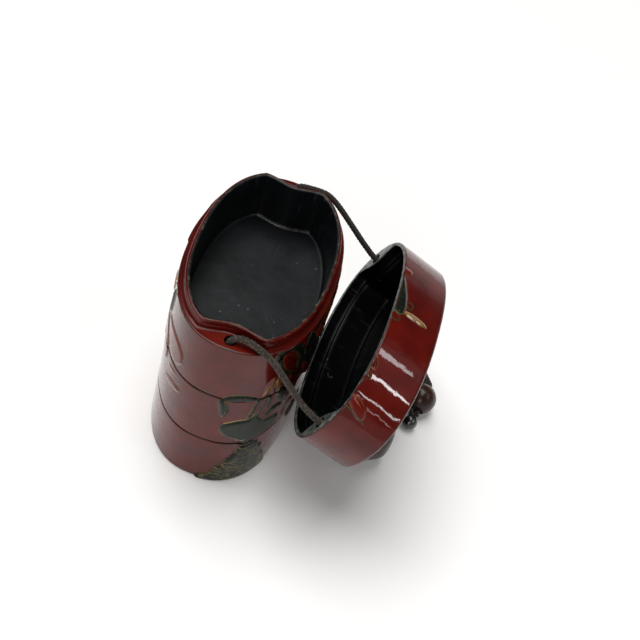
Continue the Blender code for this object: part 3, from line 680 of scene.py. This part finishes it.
# a closed body from its rows, with its painted fields as attributes of its points
def loftMesh(name, rows, materials, matrix=None):
    # the flat ends are closed by smaller and smaller rings, apart from the lid's crowned top
    first, last, shares = rows[0], rows[-1], (0.02, 0.2, 0.6, 0.98)
    rows = [row(first["ring"] * share, first["level"], first["slot"]) for share in shares] + rows
    if matrix is None:
        rows += [row(last["ring"] * share, last["level"], last["slot"]) for share in shares[::-1]]
    columns, count = case["columns"], len(rows)
    points = np.zeros((count, columns, 3))
    for index, item in enumerate(rows):
        points[index, :, :2] = item["ring"]
        points[index, :, 2] = item["level"]
    local = points.reshape(-1, 3)
    world = toWorld(local if matrix is None else local @ matrix.T + lidSizes["place"])
    here = np.arange(columns)
    after = (here + 1) % columns
    quads = np.vstack([
        np.column_stack((here, after, after + columns, here + columns)) + low * columns
        for low in range(count - 1)
    ])
    loops = np.concatenate((quads.ravel(), here[::-1], (count - 1) * columns + here))
    end = len(quads) * 4
    starts = np.concatenate((np.arange(len(quads)) * 4, [end, end + columns]))
    totals = np.concatenate((np.full(len(quads), 4), [columns, columns]))
    mesh = bpy.data.meshes.new(name)
    mesh.vertices.add(len(world))
    mesh.vertices.foreach_set("co", world.ravel())
    mesh.loops.add(len(loops))
    mesh.loops.foreach_set("vertex_index", loops)
    mesh.polygons.add(len(totals))
    mesh.polygons.foreach_set("loop_start", starts)
    slots = np.concatenate((np.repeat([item["slot"] for item in rows[:-1]], columns),
                            [rows[0]["slot"], rows[-1]["slot"]]))
    mesh.polygons.foreach_set("material_index", slots)
    mesh.update(calc_edges=True)
    mesh.validate()
    for material in materials:
        mesh.materials.append(material)
    spans = {}
    for group in (*groups, "tone", "run"):
        plain = np.full(columns, 0.0 if group in ("tone", "run") else farOut)
        spans[group] = [item["fields"][group] if "fields" in item else plain for item in rows]
    spans["wear"] = [np.full(columns, 1.0) * item["wear"] for item in rows]
    spans["along"] = [ringAlong] * count
    spans["rise"] = [np.full(columns, item["level"] + item.get("base", 0.0)) for item in rows]
    for group, values in spans.items():
        layer = mesh.attributes.new(group, "FLOAT", "POINT")
        layer.data.foreach_set("value", np.concatenate(values).astype(np.float32))
    made = bpy.data.objects.new(name, mesh)
    bpy.context.scene.collection.objects.link(made)
    return made


def tierRows(low, high, floor, recessed):
    mouth, radius = high + case["riser"], case["edgeRound"]
    foot = radius if recessed else case["footRound"]
    wall = wallRows(low + foot, high - radius, 0.0)
    rows = []
    if recessed:
        ceiling = low + case["riser"] + case["headroom"]
        rows += [row(recessRing, ceiling, 2), row(recessRing, low + 0.2, 2)]
        rows.append(row(insetRing(recessRing, -0.15), low, 2, 1.0))
        rows.append(row(insetRing(outerRing, radius + 0.12), low, 2, 1.0))
    rows += edgeRows(wall[0], low, foot, False) + wall
    rows += edgeRows(wall[-1], high, radius, True)
    rows[-1] = row(rows[-1]["ring"], high, 1, 1.0)
    # the ledge dips a little towards the riser
    shore, lip = insetRing(riserRing, -case["shore"]), outerRing - ringOut * radius
    for share in (0.25, 0.5, 0.75):
        rows.append(row(lip * (1 - share) + shore * share,
                        high - case["ledgeDip"] * math.sin(math.pi * share), 1, 0.3 * (1 - share)))
    # the riser's foot, its small bead line and its plain wall: inset, height and wear
    for inset, rise, wear in ((-case["shore"], 0, 0), (-0.12, 0.12, 0), (0, 0.4, 0), (0, 0.8, 0),
                              (-0.11, 0.98, 0), (-0.11, 1.12, 0), (0, 1.3, 0), (0, 1.6, 0.05),
                              (0, case["riser"] - case["riserRound"], 0.5)):
        rows.append(row(insetRing(riserRing, inset), high + rise, 1, wear))
    rows += roundOver(riserRing, mouth, case["riserRound"], True, 1, 0.96)
    rows.append(row((riserRing + hollowRing) / 2, mouth + 0.02, 2, 1.0))
    rows += roundOver(hollowRing, mouth, case["riserRound"], False, 2, 0.9)
    rows += [row(hollowRing, level, 2)
             for level in np.linspace(mouth - 0.6, floor + case["cornerRound"], 12)]
    # the rounded corner of the floor, rubbed at its back
    corner = case["cornerRound"]
    rubbed = 0.9 * np.clip((np.abs(ringAlong) - girth / 2 + 11.0) / 4, 0, 1)
    for turn in np.radians((22.5, 45, 67.5, 90)):
        side, rise = (1 - math.cos(turn)) * corner, (1 - math.sin(turn)) * corner
        rows.append(row(insetRing(hollowRing, side), floor + rise, 2, rubbed))
    return rows


def lidRows():
    height, radius = lidSizes["height"], lidSizes["round"]
    depth, step = height - lidSizes["top"], case["riser"] + case["fit"]
    closed = case["bottom"] + 2 * case["tier"] + case["seam"]
    rows = [row(insetRing(hollowRing, inset), depth - drop, 2)
            for inset, drop in ((0.7, 0), (0.2, 0.2), (0, 0.7))]
    rows += [row(hollowRing, level, 2) for level in np.linspace(depth - 1.2, step + 0.2, 8)]
    rows += [row(insetRing(hollowRing, -0.12), step, 2, 0.6)]
    rows += [row(insetRing(recessRing, 0.1), step, 2), row(recessRing, step - 0.15, 2)]
    rows += [row(recessRing, level, 2) for level in (2.0, 1.2, 0.45)]
    rows += [row(recessRing, 0.2, 3, 0.8), row(insetRing(recessRing, -0.12), 0.02, 3, 1.0)]
    wall = wallRows(case["edgeRound"], height - radius, closed)
    rows += edgeRows(wall[0], 0.0, case["edgeRound"], False) + wall
    rows += edgeRows(wall[-1], height, radius, True)
    # the crowned top, ring inside ring
    topRing = rows[-1]["ring"]
    for share in 1 - np.linspace(1, 0.03, 46)[1:] ** 1.15:
        ring, rise = topRing * (1 - share), lidSizes["crown"] * (1 - (1 - share) ** 2)
        fields = paintFields(ring[:, 0], ring[:, 1], topFigures)
        made = row(ring, height + rise + fields["height"] * 0.5, 0)
        made["fields"], made["base"] = fields, closed
        rows.append(made)
    return rows


# bodies that are cut away from the pieces
def turnedCutter(name, profile, middle, material):
    work = bmesh.new()
    sides = case["runnerSides"]
    turns = [2 * math.pi * i / sides for i in range(sides)]
    rings = []
    for radius, level in profile:
        rings.append([
            work.verts.new((middle[0] + radius * math.cos(turn), middle[1] + radius * math.sin(turn),
                            level)) for turn in turns])
    for low, high in zip(rings, rings[1:]):
        for i in range(sides):
            work.faces.new((low[i], low[(i + 1) % sides], high[(i + 1) % sides], high[i]))
    work.faces.new(rings[0][::-1])
    work.faces.new(rings[-1])
    return finishCutter(name, work, material)


def finishCutter(name, work, material):
    mesh = bpy.data.meshes.new(name)
    work.to_mesh(mesh)
    work.free()
    mesh.materials.append(material)
    return bpy.data.objects.new(name, mesh)


def boxCutter(name, low, high, material):
    work = bmesh.new()
    made = bmesh.ops.create_cube(work, size=1)
    size, middle = np.subtract(high, low), np.add(high, low) / 2
    for vert in made["verts"]:
        vert.co = Vector(np.array(vert.co) * size + middle)
    return finishCutter(name, work, material)


def placeCutter(cutter, matrix=None):
    for vert in cutter.data.vertices:
        point = np.array(vert.co)
        if matrix is not None:
            point = point @ matrix.T + lidSizes["place"]
        vert.co = toWorld(point)


def cutAway(piece, cutters):
    for cutter in cutters:
        bpy.context.scene.collection.objects.link(cutter)
        step = piece.modifiers.new(cutter.name, "BOOLEAN")
        step.operation, step.solver, step.object = "DIFFERENCE", "EXACT", cutter
        step.material_mode = "TRANSFER"
    applyModifiers(piece)
    for cutter in cutters:
        bpy.data.objects.remove(cutter)


def applyModifiers(piece):
    graph = bpy.context.evaluated_depsgraph_get()
    mesh = bpy.data.meshes.new_from_object(piece.evaluated_get(graph), depsgraph=graph)
    piece.modifiers.clear()
    piece.data = mesh


def smoothFaces(piece, angle=38.0):
    piece.data.shade_smooth()
    piece.data.set_sharp_from_angle(angle=math.radians(angle))


# radius and level of a runner hole, flared where the cord leaves it
def runnerProfile(low, shoulder, bottomMouth):
    radius, flare = case["runner"] / 2, case["runnerMouth"]
    wide = radius + flare
    profile = [(radius, low - 1.0)]
    if bottomMouth:
        profile = [(wide, low - 1.0), (wide, low - 0.02), (radius + flare * 0.3, low + 0.25),
                   (radius, low + 0.5)]
    return profile + [(radius, shoulder - 0.6), (radius + flare * 0.25, shoulder - 0.3),
                      (wide, shoulder + 0.01), (wide, shoulder + 2.0)]


# edges rubbed through to another tone, more where wear is near 1 and the noise is high
def wornEdges(add, colour, place, grain, limits, tone):
    wear = add("ShaderNodeAttribute", output="Fac", attribute_name="wear")
    scale, detail, rough = grain
    rub = add("ShaderNodeTexNoise",
              {"Vector": place, "Scale": scale, "Detail": detail, "Roughness": rough})
    rub = add("ShaderNodeMath", [wear, rub], operation="ADD")
    rub = add("ShaderNodeMapRange", [rub, *limits], **smooth)
    return add("ShaderNodeMix", {0: rub, 6: colour, 7: tone}, **blend)


# polished urushi lacquer over wood: deep red with a hard clear gloss, figures in raised lacquer,
# green and gold, so it mirrors the room softly and shows its colour only where it mirrors dark
def redLacquer():
    material, add, shader = newMaterial("urushiRedPolished")
    place = add("ShaderNodeTexCoord", output="Object")
    cloud = add("ShaderNodeTexNoise", {"Vector": place, "Scale": 150, "Detail": 3})
    fine = add("ShaderNodeTexNoise", {"Vector": place, "Scale": 1400, "Detail": 3})
    broad = add("ShaderNodeTexNoise", {"Vector": place, "Scale": 210, "Detail": 1})
    tone, run, rise, along = (add("ShaderNodeAttribute", output="Fac", attribute_name=name)
                              for name in ("tone", "run", "rise", "along"))
    colour = add("ShaderNodeValToRGB", [cloud], stops=((0.3, "#430804"), (0.7, "#5a0e06")))

    petalColour = add("ShaderNodeValToRGB", [tone], stops=(
        (0.0, "#5e1f16"), (0.25, "#6c241a"), (0.5, "#5c1009"), (0.78, "#3c0403"),
        (0.97, "#8c1a06")))
    towardsTip = add("ShaderNodeMath", [run, 0.45], operation="MULTIPLY")
    petalColour = add("ShaderNodeMix", {0: towardsTip, 6: petalColour, 7: "#300402"}, **blend)
    leafColour = add("ShaderNodeValToRGB", [tone],
                     stops=((0.1, "#090d08"), (0.45, "#151b15"), (0.85, "#1f241d")))
    dusty = add("ShaderNodeMapRange", [fine, 0.45, 0.75, 0, 0.4], **smooth)
    leafColour = add("ShaderNodeMix", {0: dusty, 6: leafColour, 7: "#3a3d2c"}, **blend)
    streakPlace = add("ShaderNodeCombineXYZ", [
        add("ShaderNodeMath", [along, 0.7], operation="MULTIPLY"),
        add("ShaderNodeMath", [rise, 2.4], operation="MULTIPLY")])
    streak = add("ShaderNodeTexNoise", {"Vector": streakPlace, "Scale": 1.0, "Detail": 1.5})
    bare = add("ShaderNodeMapRange", [broad, 0.4, 0.52, 0.1, 0.0], **smooth)
    streak = add("ShaderNodeMath", [streak, bare], operation="SUBTRACT")
    rockColour = add("ShaderNodeValToRGB", [streak],
                     stops=((0.42, "#131710"), (0.52, "#2b2d20"), (0.6, "#655a36")))
    goldColour = add("ShaderNodeValToRGB", [tone],
                     stops=((0.0, "#3d3a20"), (0.6, "#6e5a2c"), (0.85, "#99844c")))
    creamColour = add("ShaderNodeValToRGB", [tone],
                      stops=((0.3, "#6b4420"), (0.6, "#8f6f3c"), (0.9, "#a68a52")))

    # each figure's colour, then the broken gold line inside its edge: its width and colour
    flaky = add("ShaderNodeTexNoise", {"Vector": place, "Scale": 700})
    broken = add("ShaderNodeMapRange", [flaky, 0.38, 0.5], **smooth)
    masks = {}
    for name, paint, edgeWidth, edgeColour in (
        ("rock", rockColour, 0.1, "#4a4426"), ("petal", petalColour, 0.1, "#6a4f20"),
        ("leaf", leafColour, 0.16, "#4f5038"), ("cream", creamColour, 0.2, "#3c210c"),
        ("dark", "#1d0604", 0, None), ("gold", goldColour, 0, None),
    ):
        inside = add("ShaderNodeAttribute", output="Fac", attribute_name=name)
        masks[name] = add("ShaderNodeMapRange", [inside, -0.05, 0.05], **smooth)
        colour = add("ShaderNodeMix", {0: masks[name], 6: colour, 7: paint}, **blend)
        if edgeColour:
            outer = add("ShaderNodeMapRange", [inside, -0.08, 0.0], **smooth)
            inner = add("ShaderNodeMapRange", [inside, edgeWidth, edgeWidth + 0.1, 1, 0], **smooth)
            line = add("ShaderNodeMath", [outer, inner], operation="MULTIPLY")
            line = add("ShaderNodeMath", [line, broken], operation="MULTIPLY")
            line = add("ShaderNodeMath", [line, 0.65], operation="MULTIPLY")
            colour = add("ShaderNodeMix", {0: line, 6: colour, 7: edgeColour}, **blend)
    dull = add("ShaderNodeMath", [masks["rock"], masks["leaf"]], operation="MAXIMUM")

    ripple = add("ShaderNodeTexNoise", {"Vector": place, "Scale": 650})
    lumps = add("ShaderNodeMath", [
        add("ShaderNodeMath", [broad, 1.3], operation="MULTIPLY"),
        add("ShaderNodeMath", [ripple, 0.2], operation="MULTIPLY")], operation="ADD")
    bump = add("ShaderNodeBump", {"Height": lumps, "Distance": 0.00007, "Strength": 1.0})
    setInputs(shader, {
        "Base Color": wornEdges(add, colour, place, (700, 4, 0.7), (1.44, 1.54), "#35190c"),
        "Metallic": add("ShaderNodeMath", [masks["gold"], 0.5], operation="MULTIPLY"),
        "Roughness": add("ShaderNodeMapRange", [fine, 0.3, 0.8, 0.30, 0.44], **smooth),
        "IOR": 1.45, "Specular IOR Level": 0.08,
        "Coat Weight": add("ShaderNodeMapRange", [dull, 0.0, 1.0, 1.0, 0.5], **smooth),
        "Coat Roughness": 0.045, "Coat IOR": 1.33, "Coat Normal": bump, "Normal": bump,
    })
    return material


# the same lacquer on the ledge and the riser, which the lid covers, with a painted pool of light on
# the ledge round the front cord hole
def ledgeLacquer():
    material, add, shader = newMaterial("urushiRedLedge")
    place = add("ShaderNodeTexCoord", output="Object")
    rise, along = (add("ShaderNodeAttribute", output="Fac", attribute_name=name)
                   for name in ("rise", "along"))
    cloud = add("ShaderNodeTexNoise", {"Vector": place, "Scale": 120, "Detail": 3})
    colour = add("ShaderNodeValToRGB", [cloud], stops=((0.3, "#3a0603"), (0.7, "#560d05")))
    aside = add("ShaderNodeMath", [along, 1.0], operation="SUBTRACT")
    aside = add("ShaderNodeMath", [aside], operation="ABSOLUTE")
    # painted light: a brighter red on the ledge near the front cord hole, fading along the ledge and
    # up the riser
    paintedFrontLight = add("ShaderNodeMath", [
        add("ShaderNodeMapRange", [aside, 3.0, 12.0, 0.8, 0], **smooth),
        add("ShaderNodeMapRange", [rise, 47.75, 48.3, 1, 0], **smooth)], operation="MULTIPLY")
    colour = add("ShaderNodeMix", {0: paintedFrontLight, 6: colour, 7: "#5e1103"}, **blend)
    lumps = add("ShaderNodeTexNoise", {"Vector": place, "Scale": 260})
    setInputs(shader, {
        "Base Color": wornEdges(add, colour, place, (480, 5, 0.75), (1.5, 1.58), "#3a3324"),
        "Roughness": 0.4, "Specular IOR Level": 0.06,
        "Coat Weight": 0.8, "Coat Roughness": 0.05, "Coat IOR": 1.27,
        "Coat Normal": add("ShaderNodeBump", {"Height": lumps, "Distance": 0.00005}),
    })
    return material


# black roiro lacquer of the hollows: satin from use, with dust, scuffs and small ring marks
def blackLacquer(name, dark, light, mirror):
    material, add, shader = newMaterial(name)
    place = add("ShaderNodeTexCoord", output="Object")
    rise, along = (add("ShaderNodeAttribute", output="Fac", attribute_name=name)
                   for name in ("rise", "along"))
    haze = add("ShaderNodeTexNoise", {"Vector": place, "Scale": 90, "Detail": 4, "Roughness": 0.6})
    colour = add("ShaderNodeValToRGB", [haze], stops=((0.3, dark), (0.75, light)))
    flat = add("ShaderNodeMapping", {"Vector": place, "Scale": (1.0, 1.0, 0.2)})
    dust = add("ShaderNodeTexVoronoi", {"Vector": flat, "Scale": 300.0}, feature="F1")
    marks = add("ShaderNodeTexVoronoi", {"Vector": flat, "Scale": 105.0}, feature="F1")
    rings = add("ShaderNodeMath", [marks, 0.062], operation="SUBTRACT")
    rings = add("ShaderNodeMath", [rings], operation="ABSOLUTE")
    scuffPlace = add("ShaderNodeCombineXYZ", [
        add("ShaderNodeMath", [along, 1.5], operation="MULTIPLY"),
        add("ShaderNodeMath", [rise, 0.13], operation="MULTIPLY")])
    scuffs = add("ShaderNodeTexNoise",
                 {"Vector": scuffPlace, "Scale": 1.0, "Detail": 3, "Roughness": 0.6})
    # each kind of mark: its limits, the noise that scatters it, its strength and its colour
    for mark, limits, scale, detail, scatter, strength, tone in (
        (dust, (0.03, 0.075, 1, 0), 230, 0, (0.5, 0.58), 0.6, "#7c807d"),
        (rings, (0.006, 0.02, 1, 0), 520, 1, (0.42, 0.55), 0.55, "#565b59"),
        (scuffs, (0.56, 0.72), 160, 1, (0.42, 0.6), 0.7, "#353b40"),
    ):
        some = add("ShaderNodeTexNoise", {"Vector": place, "Scale": scale, "Detail": detail})
        shown = add("ShaderNodeMath", [
            add("ShaderNodeMapRange", [mark, *limits], **smooth),
            add("ShaderNodeMapRange", [some, *scatter], **smooth)], operation="MULTIPLY")
        shown = add("ShaderNodeMath", [shown, strength], operation="MULTIPLY")
        colour = add("ShaderNodeMix", {0: shown, 6: colour, 7: tone}, **blend)
    lumps = add("ShaderNodeTexNoise", {"Vector": place, "Scale": 300, "Detail": 3})
    setInputs(shader, {
        "Base Color": wornEdges(add, colour, place, (520, 5, 0.75), (1.46, 1.56), "#4c4a3c"),
        "Roughness": add("ShaderNodeMapRange", [haze, 0.3, 0.7, 0.33, 0.4], **smooth),
        "Specular IOR Level": mirror,
        "Normal": add("ShaderNodeBump", {"Height": lumps, "Distance": 0.00006}),
    })
    return material


# the lid's rim, black lacquer rubbed to a grey ground
def rimLacquer():
    material, add, shader = newMaterial("urushiRimRubbed")
    place = add("ShaderNodeTexCoord", output="Object")
    rubbed = add("ShaderNodeTexNoise",
                 {"Vector": place, "Scale": 500, "Detail": 5, "Roughness": 0.7})
    grit = add("ShaderNodeTexNoise", {"Vector": place, "Scale": 800, "Detail": 3})
    lumps = add("ShaderNodeTexNoise", {"Vector": place, "Scale": 900, "Detail": 3})
    setInputs(shader, {
        "Base Color": add("ShaderNodeValToRGB", [rubbed],
                          stops=((0.35, "#1f2221"), (0.52, "#535955"), (0.68, "#868c87"))),
        "Roughness": add("ShaderNodeMapRange", [grit, 0.3, 0.7, 0.3, 0.55], **smooth),
        "Normal": add("ShaderNodeBump", {"Height": lumps, "Distance": 0.00005}),
    })
    return material


# dark polished hardwood, oiled by handling, with a fine straight grain
def polishedWood(name, darkTone, lightTone, grainScale, coat):
    material, add, shader = newMaterial(name)
    place = add("ShaderNodeTexCoord", output="Object")
    stretched = add("ShaderNodeMapping", {"Vector": place, "Scale": (1.0, 0.22, 1.0),
                                          "Rotation": (0.2, 0.1, math.radians(toggle["turn"]))})
    grain = add("ShaderNodeTexNoise",
                {"Vector": stretched, "Scale": grainScale, "Detail": 5, "Roughness": 0.62})
    patches = add("ShaderNodeTexNoise", {"Vector": place, "Scale": 130})
    mixed = add("ShaderNodeMath", [
        add("ShaderNodeMath", [grain, 0.65], operation="MULTIPLY"),
        add("ShaderNodeMath", [patches, 0.35], operation="MULTIPLY")], operation="ADD")
    setInputs(shader, {
        "Base Color": add("ShaderNodeValToRGB", [mixed],
                          stops=((0.36, darkTone), (0.64, lightTone))),
        "Roughness": 0.4, "Specular IOR Level": 0.2,
        "Coat Weight": coat, "Coat IOR": 1.36, "Coat Roughness": 0.12,
        "Normal": add("ShaderNodeBump", {"Height": grain, "Distance": 0.00004}),
    })
    return material


# black lacquered silk knot, hard and shiny
def knotLacquer():
    material, add, shader = newMaterial("knotLacqueredBlack")
    place = add("ShaderNodeTexCoord", output="Object")
    cloud = add("ShaderNodeTexNoise", {"Vector": place, "Scale": 900})
    setInputs(shader, {
        "Base Color": add("ShaderNodeValToRGB", [cloud],
                          stops=((0.3, "#050404"), (0.7, "#130d0a"))),
        "Roughness": 0.25, "Coat Weight": 0.8, "Coat Roughness": 0.08,
    })
    return material


red, ledge, rim, knotBlack = redLacquer(), ledgeLacquer(), rimLacquer(), knotLacquer()
black = blackLacquer("urushiBlackSatin", "#06080a", "#0c0f11", 0.34)
# painted shade: the lid's hollow gets a darker, less glossy copy of the same black lacquer
blackLidShaded = blackLacquer("urushiBlackLidShaded", "#010102", "#040506", 0.14)
toggleWood = polishedWood("hardwoodToggleOiled", "#120805", "#381b10", 900, 0.35)
beadWood = polishedWood("hardwoodBeadPolished", "#160a05", "#43240f", 1200, 0.55)
print("stage: materials made")


def runnerCuts(name, low, shoulder, bottomMouth, matrix=None):
    cuts = []
    for side in (-1, 1):
        cut = turnedCutter(f"{name}Runner{side}", runnerProfile(low, shoulder, bottomMouth),
                           (0, side * case["runnerReach"]), black)
        placeCutter(cut, matrix)
        cuts.append(cut)
    return cuts


def makeCase():
    first, second = case["bottom"], case["bottom"] + case["tier"]
    aboveRecess = case["seam"] + case["riser"] + case["headroom"] + case["floor"]
    for name, low, high, floor, recessed in (
        ("tier_bottom", 0.0, first, case["footFloor"], False),
        ("tier_middle", first + case["seam"], second, first + aboveRecess, True),
        ("tier_top", second + case["seam"], second + case["tier"], second + aboveRecess, True),
    ):
        rows = tierRows(low, high, floor, recessed)
        piece = loftMesh(f"{name}_lacquered", rows, (red, ledge, black, rim))
        cuts = runnerCuts(name, low, high, not recessed)
        if not recessed:
            # the groove under the foot that the cord crosses in, with a deeper pocket at each end
            half, reach, pocket = case["runner"] / 2, case["runnerReach"], case["pocket"]
            for start, end, depth in ((-reach, reach, case["grooveDepth"]),
                                      (-reach, pocket - reach, case["pocketDepth"]),
                                      (reach - pocket, reach, case["pocketDepth"])):
                cut = boxCutter("footCut", (-half, start, -depth), (half, end, depth), black)
                placeCutter(cut)
                cuts.append(cut)
        cutAway(piece, cuts)
        smoothFaces(piece)
        dress(piece, name)
        print("stage:", name, len(piece.data.polygons))
    lid = loftMesh("lid_lacquered", lidRows(), (red, ledge, blackLidShaded, rim), lidMatrix())
    cutAway(lid, runnerCuts("lid", 0.0, lidSizes["height"] + 0.15, True, lidMatrix()))
    smoothFaces(lid)
    dress(lid, "lid")
    print("stage: lid", len(lid.data.polygons))


makeCase()


# faces between rings of points, the last ring joined to the first where it is closed
def ringFaces(rings, sides, closed):
    faces = []
    for ring in range(rings if closed else rings - 1):
        here, after = ring * sides, (ring + 1) % rings * sides
        for i in range(sides):
            beside = (i + 1) % sides
            faces.append((here + i, here + beside, after + beside, after + i))
    return faces


# the bead, turned about its bore
def turnedBead():
    ahead, beside = boreLines()
    side = beside / np.linalg.norm(beside)
    up = np.cross(side, ahead)
    radius, bore = beadSizes["radius"], beadSizes["bore"] / 2
    limit = math.asin(bore / radius) + 0.06
    outside = [(radius * math.sin(t), radius * math.cos(t))
               for t in np.linspace(limit, math.pi - limit, 56)]
    end = outside[0][1]
    inside = [(bore + 0.02, level) for level in np.linspace(0.32 - end, end - 0.32, 10)]
    profile = outside + [(bore + 0.1, 0.1 - end)] + inside + [(bore + 0.1, end - 0.1)]
    sides = beadSizes["around"]
    points = []
    for out, level in profile:
        for turn in np.linspace(0, 2 * math.pi, sides, endpoint=False):
            points.append(np.array(beadSizes["place"]) + ahead * level
                          + (side * math.cos(turn) + up * math.sin(turn)) * out)
    return plainPiece("ojime_bead_turned", points, ringFaces(len(profile), sides, True), beadWood)


def plainPiece(name, points, faces, material):
    mesh = bpy.data.meshes.new(name)
    mesh.from_pydata([tuple(p) for p in toWorld(points)], [], faces)
    mesh.validate()
    work = bmesh.new()
    work.from_mesh(mesh)
    bmesh.ops.remove_doubles(work, verts=work.verts, dist=1e-7)
    bmesh.ops.recalc_face_normals(work, faces=work.faces)
    work.to_mesh(mesh)
    work.free()
    mesh.materials.append(material)
    made = bpy.data.objects.new(name, mesh)
    bpy.context.scene.collection.objects.link(made)
    smoothFaces(made)
    return made


def ballPoints(across, along, shape):
    points = [shape(2 * math.pi * i / across, math.pi * ring / along - math.pi / 2)
              for ring in range(along + 1) for i in range(across)]
    return points, ringFaces(along + 1, across, False)


# the knot, a ball with woven grooves
def knotShape(turn, pitch):
    x, y, z = math.cos(turn) * math.cos(pitch), math.sin(turn) * math.cos(pitch), math.sin(pitch)
    weave = math.sin(7 * x + 4.0 * y) * math.sin(6 * z - 3.0 * y)
    groove = 0.10 * abs(weave) ** 0.5 - 0.07
    radius = beadSizes["knotRadius"] * 0.985 + groove * 0.6
    return np.array(beadSizes["knotPlace"]) + radius * np.array((x, y, z))


# the toggle, a full oblong block with shallow grooves round it and a flat foot
def toggleShape(turn, pitch):
    power = 2 / toggle["fullness"]
    side, end, up, out = (math.copysign(abs(value) ** power, value) for value in
                          (math.cos(turn), math.sin(turn), math.sin(pitch), math.cos(pitch)))
    roundOut = abs(out)
    reach = end * roundOut
    groove = (0.5 + 0.5 * math.cos(math.pi * toggle["grooves"] * (reach + 1))) ** 6
    toolMark = 0.05 * math.sin(3.1 * reach * 4 + 5 * side) ** 2
    depth = (toggle["groove"] * groove + toolMark) * roundOut
    halfHeight = (toggle["height"] + toggle["flat"]) / 2
    return togglePoint(
        (toggle["halfThick"] - depth) * roundOut * side, toggle["halfLong"] * roundOut * end,
        max((halfHeight - depth) * up + halfHeight - toggle["flat"], 0.0),
    )


def makeSmallPieces():
    bead = turnedBead()
    knot = plainPiece("cord_knot_tied", *ballPoints(96, 48, knotShape), knotBlack)
    block = plainPiece("netsuke_carved", *ballPoints(240, 120, toggleShape), toggleWood)
    # the cord's hole in the toggle's side, flared at its mouth
    bore, below = case["runner"] / 2, 3.0
    hole = turnedCutter("toggleHole", [(bore, -below), (bore, 3.9), (bore + 0.4, 5.0)],
                        (0, 0), toggleWood)
    turn = (Matrix.Rotation(math.radians(toggle["turn"]), 3, "Z")
            @ Matrix.Rotation(math.radians(90), 3, "Y"))
    inner = togglePoint(toggle["halfThick"] - toggle["holeDepth"] + below, toggle["holeAlong"],
                        toggle["holeLevel"])
    for vert in hole.data.vertices:
        vert.co = toWorld(np.array(turn @ vert.co) + inner)
    cutAway(block, [hole])
    smoothFaces(block)
    dress(bead, "ojime_bead")
    dress(knot, "cord_knot")
    dress(block, "netsuke")
    print("stage: bead, knot and toggle made")
    return bead, knot


bead, knot = makeSmallPieces()


def makeStage():
    material, add, shader = newMaterial("paperSweepWhite")
    setInputs(shader, {"Base Color": "#faf9f7", "Roughness": 0.7})
    mesh = bpy.data.meshes.new("floor")
    half = 5.0
    mesh.from_pydata([(-half, -half, 0), (half, -half, 0), (half, half, 0), (-half, half, 0)],
                     [], [(0, 1, 2, 3)])
    mesh.materials.append(material)
    floor = bpy.data.objects.new("floor", mesh)
    bpy.context.scene.collection.objects.link(floor)
    # pale low down, as the paper behind is, and dark overhead, so that only the lamps mirror
    world = bpy.data.worlds.new("studio")
    world.use_nodes = True
    add = functools.partial(addNode, world.node_tree)
    towards = add("ShaderNodeTexCoord", output="Generated")
    up = add("ShaderNodeSeparateXYZ", {"Vector": towards}, "Z")
    shade = add("ShaderNodeMapRange", [up, 0.21, 0.38, 0.55, 0.035], **smooth)
    setInputs(world.node_tree.nodes["Background"], {"Color": "#f6f6f6", "Strength": shade})
    bpy.context.scene.world = world


def softLight(name, place, aim, wide, tall, power):
    data = bpy.data.lights.new(name, "AREA")
    data.shape = "RECTANGLE"
    data.size, data.size_y = wide, tall
    data.energy = power
    lamp = bpy.data.objects.new(name, data)
    turn = Vector(aim - place).to_track_quat("-Z", "Y").to_matrix().to_4x4()
    lamp.matrix_world = Matrix.Translation(Vector(place)) @ turn
    bpy.context.scene.collection.objects.link(lamp)


# azimuth and height in degrees, distance, width and height in metres, power in watts
studio = {
    "overhead": (150, 74, 3.0, 2.4, 2.4, 101.0),
    "front": (-100, 30, 1.0, 0.5, 0.4, 2.2),
    "stripFar": (15.6, 45.9, 1.1, 0.084, 0.086, 0.3),
    "stripNear": (-15.5, 45.2, 1.1, 0.05, 0.132, 0.68),
    "panel": (4, 43.5, 1.15, 0.62, 0.2, 0.13),
    "panelEdge": (23, 45, 1.15, 0.2, 0.2, 0.022),
    "slitHigh": (-42, 33, 1.1, 0.035, 0.12, 0.28),
    "slitLow": (-52, 24, 1.1, 0.02, 0.12, 0.06),
}


def lightUp():
    aim = toWorld((33.0, -18.0, 48.0))
    for name, (azimuth, height, away, wide, tall, power) in studio.items():
        turn, rise = math.radians(azimuth), math.radians(height)
        offset = away * np.array((math.cos(rise) * math.cos(turn), math.cos(rise) * math.sin(turn),
                                  math.sin(rise)))
        softLight(name, aim + offset, aim, wide, tall, power)


makeStage()
lightUp()
bpy.context.scene.view_settings.view_transform = "Standard"

print("stage: ready")
